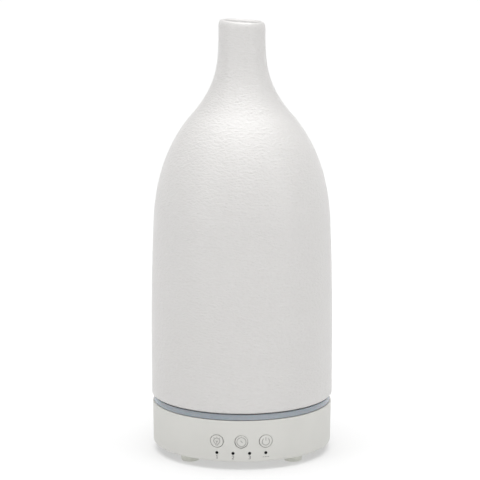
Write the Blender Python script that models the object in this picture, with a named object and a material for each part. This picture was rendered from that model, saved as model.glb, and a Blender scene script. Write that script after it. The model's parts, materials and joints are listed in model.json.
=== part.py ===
"""Essential oil diffuser: a bisque ceramic bottle-shaped cover over an ultrasonic water tank on a round plastic base.

Metres, +Z up. The origin is on the surface that the object stands on, on its axis. The front, with the buttons, faces -Y.
Lengths below are in millimetres and MM turns them into metres.
"""

import math

import bmesh
import bpy
from mathutils import Matrix, Vector

MM = 0.001

# ---------------------------------------------------------------- driving dimensions, mm
ROUND = 36  # segments of the large turned pieces
GAP = 0.3  # clearance between pieces that touch

FOOT_H, FOOT_R, FOOT_PITCH = 4.3, 5.0, 39.0
BASE_Z0, BASE_Z1, PLATE_Z0 = 4.4, 27.0, 4.6  # lower and upper edge of the base, underside of its cover
BASE_R0, BASE_R1, BASE_WALL, BASE_EDGE = 48.2, 48.5, 2.6, 1.3  # slight draft, rounded lower edge
RING_Z0, RING_Z1, RING_R = 27.3, 30.3, 47.9  # translucent light ring
COVER_Z0, COVER_R, COVER_H = 31.0, 49.0, 233.8
COVER_WALL, NECK_WALL, NECK_BORE = 5.0, 4.1, 8.4
MOUTH_TILT, MOUTH_LEAN = math.radians(3.5), math.radians(1.6)  # the hand-finished mouth drops towards +X and towards +Y
# Outer curve of the ceramic cover, (radius, height): three cubic arcs that share their ends
COVER_ARCS = (
    ((49.0, 32.4), (49.0, 70.7), (49.1, 92.5), (47.6, 125.8)),
    ((47.6, 125.8), (46.9, 142.9), (43.0, 164.9), (27.2, 183.2)),
    ((27.2, 183.2), (12.5, 200.2), (12.5, 211.9), (12.5, 230.1)),
)
COVER_STEPS = (4, 6, 6)

TANK_R_IN, TANK_R_OUT, TANK_RIM = 38.5, 40.5, 63.5
FLANGE_R, FLANGE_Z0, FLANGE_Z1 = 45.6, 28.9, 30.7
DUCT_XY, DUCT_R_IN, DUCT_R_OUT, DUCT_Z0, DUCT_Z1 = (-27.0, 4.0), 6.0, 7.5, 17.0, 61.6
LID_TOP, CHIMNEY_IN, CHIMNEY_OUT = 91.0, 9.5, 11.0

BUTTON_Z, BUTTON_X = 15.65, (-12.95, 0.0, 12.95)
BUTTON_R, BUTTON_HOLE_R = 3.35, 3.6
DOT_Z, DOT_X, DOT_HOLE_R, DOT_PIN_R = 9.3, (-12.98, -4.40, 4.40, 12.98), 0.85, 0.5
JACK_Z, JACK_HOLE_R = 14.5, 4.3
BASE_SCREWS = tuple(
    (41.0 * math.cos(math.radians(a)), 41.0 * math.sin(math.radians(a)))
    for a in (20, 160, 200, 340)
)
FEET = tuple(
    (FOOT_PITCH * math.cos(math.radians(a)), FOOT_PITCH * math.sin(math.radians(a)))
    for a in (225, 315, 45, 135)
)
FAN_XY, FAN_SIDE, FAN_Z0, FAN_Z1, FAN_BORE = (-19.5, 4.0), 30.0, 9.5, 16.5, 13.3
FAN_SCREWS = ((-31.5, -8.0), (-7.5, 16.0))
BOARD_X, BOARD_Y, BOARD_Z = (-3.0, 33.5), (-22.0, 24.0), (10.4, 12.0)
BOARD_SCREWS = ((1.0, -18.5), (29.5, 20.0))
CLAMP_SCREWS = tuple(
    (16.6 * math.cos(math.radians(a)), 16.6 * math.sin(math.radians(a)))
    for a in (30, 150, 270)
)

# ---------------------------------------------------------------- start from an empty scene
for old in list(bpy.data.objects):
    bpy.data.objects.remove(old, do_unlink=True)
scene = bpy.context.scene


# ---------------------------------------------------------------- materials
def material(name, colour, roughness, metallic=0.0):
    found = bpy.data.materials.get(name)
    if found:
        return found
    made = bpy.data.materials.new(name)
    made.use_nodes = True
    shader = made.node_tree.nodes["Principled BSDF"]
    shader.inputs["Base Color"].default_value = (*colour, 1)
    shader.inputs["Roughness"].default_value = roughness
    shader.inputs["Metallic"].default_value = metallic
    made.diffuse_color = (*colour, 1)
    return made


CERAMIC = material("bisque_ceramic", (0.72, 0.71, 0.69), 0.85)
ABS_WHITE = material("abs_white", (0.70, 0.69, 0.66), 0.55)
RING_GREY = material("ring_silver", (0.30, 0.34, 0.38), 0.35)
PP_WHITE = material("pp_white", (0.80, 0.80, 0.79), 0.4)
SMOKED = material("smoked_black", (0.01, 0.01, 0.01), 0.2)
FOOT_WHITE = material("foot_rubber", (0.66, 0.65, 0.62), 0.8)
SILICONE = material("silicone_clear", (0.75, 0.76, 0.76), 0.5)
STEEL = material("zinc_steel", (0.60, 0.60, 0.58), 0.3, 1.0)
BRASS = material("electrode_silver", (0.72, 0.70, 0.62), 0.3, 1.0)
PCB = material("board_green", (0.02, 0.16, 0.07), 0.45)
FAN_BLACK = material("fan_black", (0.02, 0.02, 0.02), 0.45)
FERRITE = material("ferrite", (0.05, 0.05, 0.05), 0.6)
ALUMINIUM = material("aluminium", (0.70, 0.71, 0.72), 0.35, 1.0)
CAN_BLUE = material("capacitor_sleeve", (0.03, 0.06, 0.25), 0.35)
NYLON = material("nylon_white", (0.75, 0.73, 0.66), 0.5)
WIRE_RED = material("wire_red", (0.5, 0.02, 0.02), 0.5)
WIRE_BLACK = material("wire_black", (0.02, 0.02, 0.02), 0.5)
WIRE_GREY = material("wire_grey", (0.35, 0.35, 0.36), 0.5)


# ---------------------------------------------------------------- modelling helpers
def add(name, bm, mat, cutter=False, parent=None, smooth=30):
    """Turns a bmesh, in millimetres, into an object in metres, with its normals outwards."""
    bmesh.ops.remove_doubles(bm, verts=bm.verts, dist=1e-4)
    bmesh.ops.recalc_face_normals(bm, faces=bm.faces)
    bmesh.ops.scale(bm, vec=(MM, MM, MM), verts=bm.verts)
    mesh = bpy.data.meshes.new(name)
    bm.to_mesh(mesh)
    bm.free()
    obj = bpy.data.objects.new(name, mesh)
    scene.collection.objects.link(obj)
    if mat:
        mesh.materials.append(mat)
    if smooth:
        mesh.shade_smooth()
        mesh.set_sharp_from_angle(angle=math.radians(smooth))
    if cutter:
        obj.hide_render = True
        obj.display_type = "WIRE"
    if parent:
        obj.parent = parent
        obj.matrix_parent_inverse = Matrix.Translation(-parent.location)
    return obj


def spin_into(bm, profile, centre=(0, 0), segments=ROUND, closed=True):
    """Turns a (radius, height) outline about a vertical axis through centre."""
    verts = [bm.verts.new((centre[0] + r, centre[1], z)) for r, z in profile]
    edges = [bm.edges.new((verts[i], verts[i + 1])) for i in range(len(verts) - 1)]
    if closed:
        edges.append(bm.edges.new((verts[-1], verts[0])))
    made = bmesh.ops.spin(
        bm,
        geom=verts + edges,
        cent=(centre[0], centre[1], 0),
        axis=(0, 0, 1),
        angle=2 * math.pi,
        steps=segments,
    )
    return made


def turned(profile, centre=(0, 0), segments=ROUND):
    """A solid of revolution. An outline that starts and ends on the axis stays open there."""
    bm = bmesh.new()
    on_axis = profile[0][0] == 0 and profile[-1][0] == 0
    spin_into(bm, profile, centre, segments, closed=not on_axis)
    bmesh.ops.remove_doubles(bm, verts=bm.verts, dist=1e-4)
    return bm


def rod_into(bm, start, end, radius, segments=16, end_radius=None):
    """A cylinder or cone between two points, in any direction."""
    a, b = Vector(start), Vector(end)
    along = b - a
    turn = along.to_track_quat("Z", "Y").to_matrix().to_4x4()
    bmesh.ops.create_cone(
        bm,
        cap_ends=True,
        segments=segments,
        radius1=radius,
        radius2=radius if end_radius is None else end_radius,
        depth=along.length,
        matrix=Matrix.Translation((a + b) / 2) @ turn,
    )


def box_into(bm, low, high, turn=0.0):
    """An upright box from its lowest to its highest corner, turned about its own centre by turn degrees."""
    low, high = Vector(low), Vector(high)
    size = high - low
    matrix = (
        Matrix.Translation((low + high) / 2)
        @ Matrix.Rotation(math.radians(turn), 4, "Z")
        @ Matrix.Diagonal((size.x, size.y, size.z, 1))
    )
    bmesh.ops.create_cube(bm, size=1, matrix=matrix)


def rods(*items, segments=16):
    bm = bmesh.new()
    for start, end, radius in items:
        rod_into(bm, start, end, radius, segments)
    return bm


def box(low, high):
    bm = bmesh.new()
    box_into(bm, low, high)
    return bm


def boolean(obj, bm, name, operation="DIFFERENCE"):
    """Keeps a Boolean with a hidden helper on the object."""
    helper = add(name, bm, None, cutter=True, smooth=0)
    modifier = obj.modifiers.new(name, "BOOLEAN")
    modifier.operation = operation
    modifier.object = helper
    modifier.solver = "EXACT"
    return helper


def bezier(points, steps):
    """Points along a cubic arc, without its first one."""
    p = [Vector(q) for q in points]
    made = []
    for i in range(1, steps + 1):
        t = i / steps
        made.append(
            p[0] * (1 - t) ** 3 + p[1] * 3 * t * (1 - t) ** 2 + p[2] * 3 * t * t * (1 - t) + p[3] * t**3
        )
    return made


def smooth_route(points, per_span=3):
    """Catmull-Rom points through a route."""
    pts = [Vector(q) for q in points]
    pts = [2 * pts[0] - pts[1]] + pts + [2 * pts[-1] - pts[-2]]
    made = []
    for i in range(1, len(pts) - 2):
        a, b, c, d = pts[i - 1 : i + 3]
        for k in range(per_span):
            t = k / per_span
            made.append(
                0.5 * (2 * b + (c - a) * t + (2 * a - 5 * b + 4 * c - d) * t * t + (3 * b - a - 3 * c + d) * t**3)
            )
    made.append(pts[-2])
    return made


def wire(name, route, radius, mat):
    """A round lead along a route, as a bevelled curve with closed ends."""
    points = smooth_route(route)
    curve = bpy.data.curves.new(name, "CURVE")
    curve.dimensions = "3D"
    spline = curve.splines.new("POLY")
    spline.points.add(len(points) - 1)
    for slot, point in zip(spline.points, points):
        slot.co = (*(point * MM), 1)
    curve.bevel_depth = radius * MM
    curve.bevel_resolution = 1
    curve.use_fill_caps = True
    curve.materials.append(mat)
    obj = bpy.data.objects.new(name, curve)
    scene.collection.objects.link(obj)
    return obj


def pivot(name, point):
    """An empty on a joint's axis, which the moving pieces hang from."""
    empty = bpy.data.objects.new(name, None)
    empty.location = Vector(point) * MM
    scene.collection.objects.link(empty)
    return empty


def outer_radius(z):
    """Outer radius of the base at a height."""
    return BASE_R0 + (BASE_R1 - BASE_R0) * (z - BASE_Z0) / (BASE_Z1 - BASE_Z0)


# ---------------------------------------------------------------- ceramic cover
def cover_profile():
    outer = [Vector((47.6, COVER_Z0)), Vector((48.6, 31.4)), Vector(COVER_ARCS[0][0])]
    for arc, steps in zip(COVER_ARCS, COVER_STEPS):
        outer += bezier(arc, steps)
    # rounded lip, from the outer side over the crest into the bore
    outer += [Vector((12.35, 231.5)), Vector((11.8, 233.0)), Vector((10.8, COVER_H))]
    inner_lip = [Vector((9.6, 233.3)), Vector((8.85, 232.2)), Vector((NECK_BORE + 0.1, 230.8))]
    # the inside follows the outside at the wall's thickness, thinner in the neck
    inside = []
    body = outer[2:-3]
    for i, point in enumerate(body):
        if point.y < 45 or i == len(body) - 1:
            continue
        along = (body[i + 1] - body[i - 1]).normalized()
        inwards = Vector((-along.y, along.x))
        share = min(1.0, max(0.0, (point.y - 120.0) / 80.0))
        wall = COVER_WALL + (NECK_WALL - COVER_WALL) * share
        spot = point + inwards * wall
        inside.append(Vector((max(spot.x, NECK_BORE), spot.y)))
    inside = inside[::-1] + [
        Vector((COVER_R - COVER_WALL, 32.2)),
        Vector((COVER_R - COVER_WALL + 0.5, COVER_Z0)),
    ]
    return [(p.x, p.y) for p in outer + inner_lip + inside]


cover_lift = pivot("cover_lift_axis", (0, 0, COVER_Z0))
bm = turned(cover_profile())
for v in bm.verts:
    share = min(1.0, max(0.0, (v.co.z - 212.0) / (COVER_H - 212.0)))
    drop = math.tan(MOUTH_TILT) * v.co.x + math.tan(MOUTH_LEAN) * v.co.y
    v.co.z -= drop * share * share * (3 - 2 * share)
add("ceramic_cover", bm, CERAMIC, parent=cover_lift)

# ---------------------------------------------------------------- tank lid with its chimney, and the splash guard under it
lid_lift = pivot("lid_lift_axis", (0, 0, TANK_RIM))
bm = turned(
    (
        (CHIMNEY_IN, LID_TOP),
        (CHIMNEY_OUT, LID_TOP),
        (CHIMNEY_OUT, 76.5),
        (13.5, 73.6),
        (36.5, 65.6),
        (40.3, 65.3),
        (TANK_R_OUT, 65.0),
        (TANK_R_OUT, TANK_RIM + GAP),
        (38.1, TANK_RIM + GAP),
        (38.1, 60.5),
        (36.6, 60.5),
        (36.6, 63.6),
        (12.5, 72.2),
        (CHIMNEY_IN, 75.8),
    )
)
add("tank_lid", bm, PP_WHITE, parent=lid_lift)

bm = turned(((0, 64.2), (4, 64.3), (13.5, 65.3), (13.5, 66.5), (4, 65.9), (0, 65.8)), segments=24)
guard = add("splash_guard", bm, PP_WHITE, parent=lid_lift)
boolean(
    guard,
    rods(
        *(
            (
                (12.4 * math.cos(math.radians(a)), 12.4 * math.sin(math.radians(a)), 65.2),
                (12.4 * math.cos(math.radians(a)), 12.4 * math.sin(math.radians(a)), 71.2),
                1.0,
            )
            for a in (90, 210, 330)
        ),
        segments=10,
    ),
    "guard_legs",
    "UNION",
)

# ---------------------------------------------------------------- water tank with air duct, piezo pocket and screw bosses
bm = turned(
    (
        (8.5, 29.2),
        (8.5, 31.0),
        (11.0, 32.5),
        (35.5, 34.5),
        (TANK_R_IN, 37.5),
        (TANK_R_IN, TANK_RIM),
        (TANK_R_OUT, TANK_RIM),
        (TANK_R_OUT, FLANGE_Z1),
        (FLANGE_R, FLANGE_Z1),
        (FLANGE_R, FLANGE_Z0),
        (44.4, FLANGE_Z0),
        (44.4, 29.9),
        (42.4, 29.9),
        (42.4, FLANGE_Z0),
        (41.1, FLANGE_Z0),
        (41.1, 25.5),
        (39.3, 25.5),
        (39.3, 31.5),
        (35.0, 32.3),
        (14.0, 30.3),
        (14.0, 26.0),
        (11.8, 26.0),
        (11.8, 29.2),
    )
)
tank = add("water_tank", bm, PP_WHITE)
bm = rods(
    ((*DUCT_XY, DUCT_Z0), (*DUCT_XY, DUCT_Z1), DUCT_R_OUT),
    segments=20,
)
for x, y in CLAMP_SCREWS:
    rod_into(bm, (x, y, 26.0), (x, y, 31.6), 3.0, 14)
boolean(tank, bm, "tank_duct_and_bosses", "UNION")
bm = rods(
    ((*DUCT_XY, DUCT_Z0 - 2), (*DUCT_XY, DUCT_Z1 + 2), DUCT_R_IN),
    segments=20,
)
for x, y in CLAMP_SCREWS:
    rod_into(bm, (x, y, 24.0), (x, y, 30.2), 1.4, 8)
boolean(tank, bm, "tank_bores")

# ---------------------------------------------------------------- seal ring between tank and light ring
add(
    "tank_seal",
    turned(((42.8, 28.9), (44.0, 28.9), (44.0, 29.6), (42.8, 29.6))),
    SILICONE,
)

# ---------------------------------------------------------------- light ring
add(
    "light_ring",
    turned(
        (
            (41.5, RING_Z0),
            (RING_R - 0.3, RING_Z0),
            (RING_R, RING_Z0 + 0.3),
            (RING_R, RING_Z1 - 0.3),
            (RING_R - 0.3, RING_Z1),
            (RING_R - 0.9, RING_Z1),
            (RING_R - 0.9, 28.6),
            (41.5, 28.6),
        )
    ),
    RING_GREY,
)
bm = turned(((41.4, 24.6), (44.6, 24.6), (44.6, 25.8), (41.4, 25.8)))
leds = add("ring_light_board", bm, PCB)
bm = bmesh.new()
for a in range(0, 360, 60):
    x, y = 43.0 * math.cos(math.radians(a + 10)), 43.0 * math.sin(math.radians(a + 10))
    box_into(bm, (x - 1.25, y - 1.25, 25.5), (x + 1.25, y + 1.25, 26.9), a + 10)
boolean(leds, bm, "ring_lights", "UNION")

# ---------------------------------------------------------------- base housing
lower_edge = [
    (
        BASE_R0 - BASE_EDGE * (1 - math.sin(math.radians(a))),
        BASE_Z0 + BASE_EDGE * (1 - math.cos(math.radians(a))),
    )
    for a in (0, 30, 60, 90)
]
bm = turned(
    (
        *lower_edge,
        (BASE_R1, BASE_Z1 - 0.8),
        (BASE_R1 - 0.25, BASE_Z1 - 0.2),
        (BASE_R1 - 0.8, BASE_Z1),
        (45.0, BASE_Z1),
        (45.0, 25.2),
        (BASE_R1 - BASE_WALL, 25.2),
        (BASE_R0 - BASE_WALL, BASE_Z0),
    )
)
housing = add("base_housing", bm, ABS_WHITE)
boolean(
    housing,
    rods(*(((x, y, 7.1), (x, y, 24.0), 3.0) for x, y in BASE_SCREWS), segments=16),
    "base_bosses",
    "UNION",
)
bm = bmesh.new()
for x, y in BASE_SCREWS:
    angle = math.atan2(y, x)
    cx, cy = 44.6 * math.cos(angle), 44.6 * math.sin(angle)
    box_into(bm, (cx - 2.0, cy - 1.0, 7.6), (cx + 2.0, cy + 1.0, 23.5), math.degrees(angle))
boolean(housing, bm, "base_ribs", "UNION")
bm = bmesh.new()
for x, y in BASE_SCREWS:
    rod_into(bm, (x, y, 5.0), (x, y, 16.5), 1.5, 10)
for x in BUTTON_X:
    rod_into(bm, (x, -52, BUTTON_Z), (x, -40.5, BUTTON_Z), BUTTON_HOLE_R, 24)
for x in DOT_X:
    rod_into(bm, (x, -52, DOT_Z), (x, -40.5, DOT_Z), DOT_HOLE_R, 12)
rod_into(bm, (0, 43.0, JACK_Z), (0, 52.0, JACK_Z), JACK_HOLE_R, 24)
boolean(housing, bm, "base_holes")

# ---------------------------------------------------------------- bottom cover, with vents under the fan
bm = turned(((0, PLATE_Z0), (44.6, PLATE_Z0), (45.0, 5.0), (45.0, 6.8), (0, 6.8)))
plate = add("bottom_cover", bm, ABS_WHITE)
bm = bmesh.new()
for x, y in BOARD_SCREWS:
    rod_into(bm, (x, y, 6.0), (x, y, BOARD_Z[0] - GAP), 2.6, 14)
for x, y in FAN_SCREWS:
    rod_into(bm, (x, y, 6.0), (x, y, FAN_Z0 - GAP), 2.4, 14)
boolean(plate, bm, "bottom_bosses", "UNION")
bm = bmesh.new()
for x, y in BOARD_SCREWS + FAN_SCREWS:
    rod_into(bm, (x, y, 7.4), (x, y, 12.0), 1.3, 10)
for x, y in FEET:
    rod_into(bm, (x, y, 3.0), (x, y, 6.2), 2.1, 12)
for x, y in BASE_SCREWS:
    rod_into(bm, (x, y, 3.0), (x, y, 5.6), 2.8, 14)
boolean(plate, bm, "bottom_recesses")
bm = bmesh.new()
for x, y in BASE_SCREWS:
    rod_into(bm, (x, y, 5.0), (x, y, 8.0), 1.6, 10)
for i in range(5):
    y = FAN_XY[1] + 4.6 * (i - 2)
    half = (11.0, 12.0, 12.5, 12.0, 8.5)[i]
    shift = -2.5 if i == 4 else (1.5 if i == 0 else 0)
    box_into(bm, (FAN_XY[0] - half + shift, y - 1.25, 3.0), (FAN_XY[0] + half + shift, y + 1.25, 8.0))
boolean(plate, bm, "bottom_vents")

# ---------------------------------------------------------------- feet
for number, (x, y) in enumerate(FEET, 1):
    add(
        f"foot_{number}",
        turned(
            (
                (0, 0),
                (3.8, 0),
                (4.45, 0.35),
                (4.75, 1.1),
                (FOOT_R, FOOT_H),
                (1.8, FOOT_H),
                (1.8, 5.8),
                (0, 5.8),
            ),
            (x, y),
            16,
        ),
        FOOT_WHITE,
    )


# ---------------------------------------------------------------- screws
def screw(name, x, y, head, tip, head_r, shank_r, head_h, parent=None):
    """A pan-head screw: head is the height of the seat under the head, tip the end of the shank."""
    up = 1 if head > tip else -1
    profile = (
        (0, head + up * head_h),
        (head_r * 0.7, head + up * head_h),
        (head_r, head + up * head_h * 0.5),
        (head_r, head),
        (shank_r, head),
        (shank_r, tip + up * 0.8),
        (shank_r * 0.4, tip),
        (0, tip),
    )
    return add(name, turned(profile, (x, y), 12), STEEL, parent=parent)


for number, (x, y) in enumerate(BASE_SCREWS, 1):
    screw(f"bottom_screw_{number}", x, y, 5.3, 15.5, 2.4, 1.2, 0.65)
for number, (x, y) in enumerate(BOARD_SCREWS, 1):
    screw(f"board_screw_{number}", x, y, BOARD_Z[1] + GAP, 7.9, 2.2, 1.0, 1.3)
for number, (x, y) in enumerate(FAN_SCREWS, 1):
    screw(f"fan_screw_{number}", x, y, FAN_Z1 + GAP, 7.9, 2.2, 1.0, 1.3)
for number, (x, y) in enumerate(CLAMP_SCREWS, 1):
    screw(f"clamp_screw_{number}", x, y, 24.1, 29.6, 2.4, 1.1, 1.4)

# ---------------------------------------------------------------- ultrasonic disc, gasket and clamp
add("piezo_disc", turned(((0, 26.9), (10.0, 26.9), (10.0, 27.7), (0, 27.7)), segments=24), BRASS)
add(
    "piezo_gasket",
    turned(
        (
            (8.2, 28.9),
            (11.5, 28.9),
            (11.5, 25.9),
            (8.2, 25.9),
            (8.2, 26.6),
            (10.3, 26.6),
            (10.3, 28.0),
            (8.2, 28.0),
        ),
        segments=24,
    ),
    SILICONE,
)
bm = turned(((6.5, 24.4), (19.2, 24.4), (19.2, 25.6), (6.5, 25.6)), segments=28)
clamp = add("piezo_clamp", bm, STEEL)
boolean(
    clamp,
    rods(*(((x, y, 23.0), (x, y, 27.0), 1.4) for x, y in CLAMP_SCREWS), segments=10),
    "clamp_holes",
)

# ---------------------------------------------------------------- fan
fx, fy = FAN_XY
half = FAN_SIDE / 2
bm = box((fx - half, fy - half, FAN_Z0), (fx + half, fy + half, FAN_Z1))
upright = [e for e in bm.edges if abs(e.verts[0].co.z - e.verts[1].co.z) > 1]
bmesh.ops.bevel(bm, geom=upright, offset=2.5, segments=3, affect="EDGES", profile=0.5)
frame = add("fan_frame", bm, FAN_BLACK)
boolean(frame, rods(((fx, fy, FAN_Z0 - 2), (fx, fy, FAN_Z1 + 2), FAN_BORE), segments=28), "fan_bore")
bm = turned(((1.3, FAN_Z0), (6.2, FAN_Z0), (6.2, 10.3), (1.3, 10.3)), FAN_XY, 20)
boolean(frame, bm, "fan_hub", "UNION")
bm = bmesh.new()
for a in (0, 120, 240):
    c, s = math.cos(math.radians(a)), math.sin(math.radians(a))
    box_into(bm, (fx + 9.9 * c - 4.2, fy + 9.9 * s - 0.8, FAN_Z0 + 0.1), (fx + 9.9 * c + 4.2, fy + 9.9 * s + 0.8, 10.2), a)
boolean(frame, bm, "fan_spokes", "UNION")
boolean(
    frame,
    rods(*(((x, y, FAN_Z0 - 2), (x, y, FAN_Z1 + 2), 1.4) for x, y in FAN_SCREWS), segments=10),
    "fan_frame_holes",
)

fan_spin = pivot("fan_spin_axis", (fx, fy, 13.0))
bm = turned(
    ((0, 9.6), (1.0, 9.6), (1.0, 10.7), (6.5, 10.7), (6.5, 15.2), (6.0, 15.8), (0, 15.8)), FAN_XY, 20
)
rotor = add("fan_rotor", bm, FAN_BLACK, parent=fan_spin)
bm = bmesh.new()
BLADES = 7
for i in range(BLADES):
    a0 = 2 * math.pi * i / BLADES
    corners = []
    for r, lead, trail, z_lead, z_trail in ((6.0, -0.34, 0.34, 14.9, 11.4), (12.7, -0.26, 0.26, 15.3, 11.1)):
        for z_off in (0.0, 0.9):
            corners.append((fx + r * math.cos(a0 + lead), fy + r * math.sin(a0 + lead), z_lead - z_off))
            corners.append((fx + r * math.cos(a0 + trail), fy + r * math.sin(a0 + trail), z_trail + 0.9 - z_off))
    v = [bm.verts.new(c) for c in corners]
    for quad in ((0, 1, 3, 2), (4, 6, 7, 5), (0, 4, 5, 1), (2, 3, 7, 6), (0, 2, 6, 4), (1, 5, 7, 3)):
        bm.faces.new([v[k] for k in quad])
boolean(rotor, bm, "fan_blades", "UNION")

# ---------------------------------------------------------------- main board and its parts
bm = box((BOARD_X[0], BOARD_Y[0], BOARD_Z[0]), (BOARD_X[1], BOARD_Y[1], BOARD_Z[1]))
board = add("main_board", bm, PCB)
boolean(
    board,
    rods(*(((x, y, 9.0), (x, y, 14.0), 1.4) for x, y in BOARD_SCREWS), segments=10),
    "board_holes",
)
TOP = BOARD_Z[1] + GAP
add(
    "inductor",
    turned(
        ((0, TOP), (4.5, TOP), (4.5, TOP + 1.2), (3.4, TOP + 1.2), (3.4, TOP + 6.8), (4.5, TOP + 6.8), (4.5, TOP + 8), (0, TOP + 8)),
        (9, 10.5),
        20,
    ),
    FERRITE,
)
add(
    "capacitor",
    turned(((0, TOP), (3.7, TOP), (4.0, TOP + 0.8), (4.0, TOP + 9), (3.5, TOP + 9.4), (0, TOP + 9.4)), (20, 16), 20),
    CAN_BLUE,
)
add("controller_chip", box((4.5, -9, TOP), (11.5, -3, TOP + 1.6)), FAN_BLACK, smooth=0)
add("transistor", box((21, -12.7, TOP), (31, -8.3, TOP + 9)), FAN_BLACK, smooth=0)
bm = box((20, -8.0, TOP), (32, -6.2, TOP + 10))
sink = add("heatsink", bm, ALUMINIUM, smooth=0)
bm = bmesh.new()
for i in range(5):
    box_into(bm, (20 + 2.7 * i, -6.8, TOP), (21.2 + 2.7 * i, 0.5, TOP + 9.8))
boolean(sink, bm, "heatsink_fins", "UNION")
for name, low, high in (
    ("fan_connector", (-1.5, 15.0, TOP), (5.5, 20.5, TOP + 6)),
    ("panel_connector", (8.0, -20.5, TOP), (19.0, -15.5, TOP + 6)),
):
    bm = box(low, high)
    socket = add(name, bm, NYLON, smooth=0)
    bm = box(
        (low[0] + 1, low[1] + 1, high[2] - 4), (high[0] - 1, high[1] - 1, high[2] + 1)
    )
    boolean(socket, bm, name + "_pocket")

# ---------------------------------------------------------------- power inlet at the rear
bm = box((-4.6, 34.5, 9.9), (4.6, 44.5, 19.1))
jack = add("dc_jack", bm, FAN_BLACK)
boolean(jack, rods(((0, 42.0, JACK_Z), (0, 47.8, JACK_Z), 3.9), segments=24), "jack_barrel", "UNION")
boolean(jack, rods(((0, 38.3, JACK_Z), (0, 49.0, JACK_Z), 2.9), segments=24), "jack_bore")
bm = rods(((0, 38.6, JACK_Z), (0, 46.1, JACK_Z), 1.0), segments=12)
add("dc_jack_pin", bm, STEEL)

# ---------------------------------------------------------------- control board, switches, buttons and indicator window
add("control_board", box((-21, -36.3, 8.0), (21, -34.9, 21.0)), PCB, smooth=0)
BUTTONS = ("light", "timer", "power")
for kind, x in zip(BUTTONS, BUTTON_X):
    side = abs(x) > 1
    flange = (-41.8, -41.0) if side else (-44.9, -44.0)
    holder = pivot(f"button_{kind}_axis", (x, -outer_radius(BUTTON_Z), BUTTON_Z))
    # cap with a face that follows the curve of the base
    bm = bmesh.new()
    rod_into(bm, (x, -50.0, BUTTON_Z), (x, flange[0] + 0.4, BUTTON_Z), BUTTON_R, 24)
    front = [v for v in bm.verts if v.co.y < -49.0]
    face = next(f for f in bm.faces if all(v in front for v in f.verts))
    bmesh.ops.poke(bm, faces=[face])
    for v in bm.verts:
        if v.co.y < -49.0:
            radius = outer_radius(v.co.z) - 0.02
            v.co.y = -math.sqrt(radius**2 - v.co.x**2)
    cap = add(f"button_{kind}", bm, ABS_WHITE, parent=holder)
    bm = rods(((x, flange[0], BUTTON_Z), (x, flange[1], BUTTON_Z), 4.4), segments=24)
    boolean(cap, bm, f"button_{kind}_flange", "UNION")
    if not side:
        bm = rods(((x, flange[1] - 0.4, BUTTON_Z), (x, -41.0, BUTTON_Z), 1.6), segments=12)
        boolean(cap, bm, f"button_{kind}_stem", "UNION")
    add(
        f"plunger_{kind}",
        rods(((x, -40.7, BUTTON_Z), (x, -38.9, BUTTON_Z), 1.3), segments=12),
        FAN_BLACK,
        parent=holder,
    )
    body = add(f"switch_{kind}", box((x - 3, -39.8, BUTTON_Z - 3), (x + 3, -36.6, BUTTON_Z + 3)), STEEL, smooth=0)
    boolean(body, rods(((x, -41.0, BUTTON_Z), (x, -38.0, BUTTON_Z), 1.65), segments=16), f"switch_{kind}_bore")

bm = box((-16.3, -41.5, 7.9), (16.3, -40.4, 10.7))
window = add("indicator_window", bm, SMOKED, smooth=0)
bm = bmesh.new()
for x in DOT_X:
    tip = -math.sqrt(outer_radius(DOT_Z) ** 2 - x * x) + 0.25
    rod_into(bm, (x, -41.2, DOT_Z), (x, tip, DOT_Z), DOT_PIN_R, 10)
boolean(window, bm, "indicator_pins", "UNION")

# ---------------------------------------------------------------- internal leads
wire("piezo_lead_red", ((-3, 2, 26.0), (-1.5, 2, 23.5), (4, 2, 21), (10, 2.5, 17), (13, 3, 13.0)), 0.5, WIRE_RED)
wire("piezo_lead_black", ((3, -2, 26.0), (4, -2, 23), (8, -1.5, 19), (12.5, -1, 16), (14.5, -1, 13.0)), 0.5, WIRE_BLACK)
wire("fan_lead", ((-9.5, 11.5, 17.7), (-6.5, 12.5, 19.5), (-1, 16.0, 21.0), (1.8, 17.6, 20.0), (2, 17.8, 17.5)), 0.8, WIRE_BLACK)
wire("panel_lead", ((8, -34.0, 16), (9, -30, 19), (10.5, -23, 21), (11.5, -18.6, 20.3), (11.5, -18, 17.0)), 1.0, WIRE_GREY)
wire("ring_light_lead", ((21.5, -37.2, 23.8), (20.5, -34, 22.2), (18, -26, 21.5), (16.2, -19.0, 20.3), (16, -18, 17.0)), 0.7, WIRE_RED)
wire("inlet_lead", ((0, 34.0, 13), (1.5, 30.5, 12.8), (6, 26.5, 15), (10.5, 21.8, 15.2), (12, 20, 13.0)), 0.9, WIRE_BLACK)
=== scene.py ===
"""Looks of the essential oil diffuser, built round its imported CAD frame. Metres, +Z up, front towards -Y."""

import json
import math

import bmesh
import bpy
from mathutils import Matrix, Vector


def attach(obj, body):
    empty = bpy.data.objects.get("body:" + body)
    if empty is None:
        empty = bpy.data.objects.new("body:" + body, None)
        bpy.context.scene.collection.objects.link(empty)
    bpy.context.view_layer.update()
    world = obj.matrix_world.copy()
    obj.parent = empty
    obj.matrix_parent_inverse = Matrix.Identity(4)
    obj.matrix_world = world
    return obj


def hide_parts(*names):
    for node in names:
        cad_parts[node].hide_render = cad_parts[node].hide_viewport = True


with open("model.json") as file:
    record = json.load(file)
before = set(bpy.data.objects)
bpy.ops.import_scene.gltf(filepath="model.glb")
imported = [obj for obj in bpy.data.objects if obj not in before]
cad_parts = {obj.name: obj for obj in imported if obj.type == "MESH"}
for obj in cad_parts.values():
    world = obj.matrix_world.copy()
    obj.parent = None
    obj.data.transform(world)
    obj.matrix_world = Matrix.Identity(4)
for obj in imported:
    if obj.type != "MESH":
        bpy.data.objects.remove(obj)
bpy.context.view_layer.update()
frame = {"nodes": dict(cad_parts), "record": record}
scene = bpy.context.scene
MM = 0.001

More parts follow.
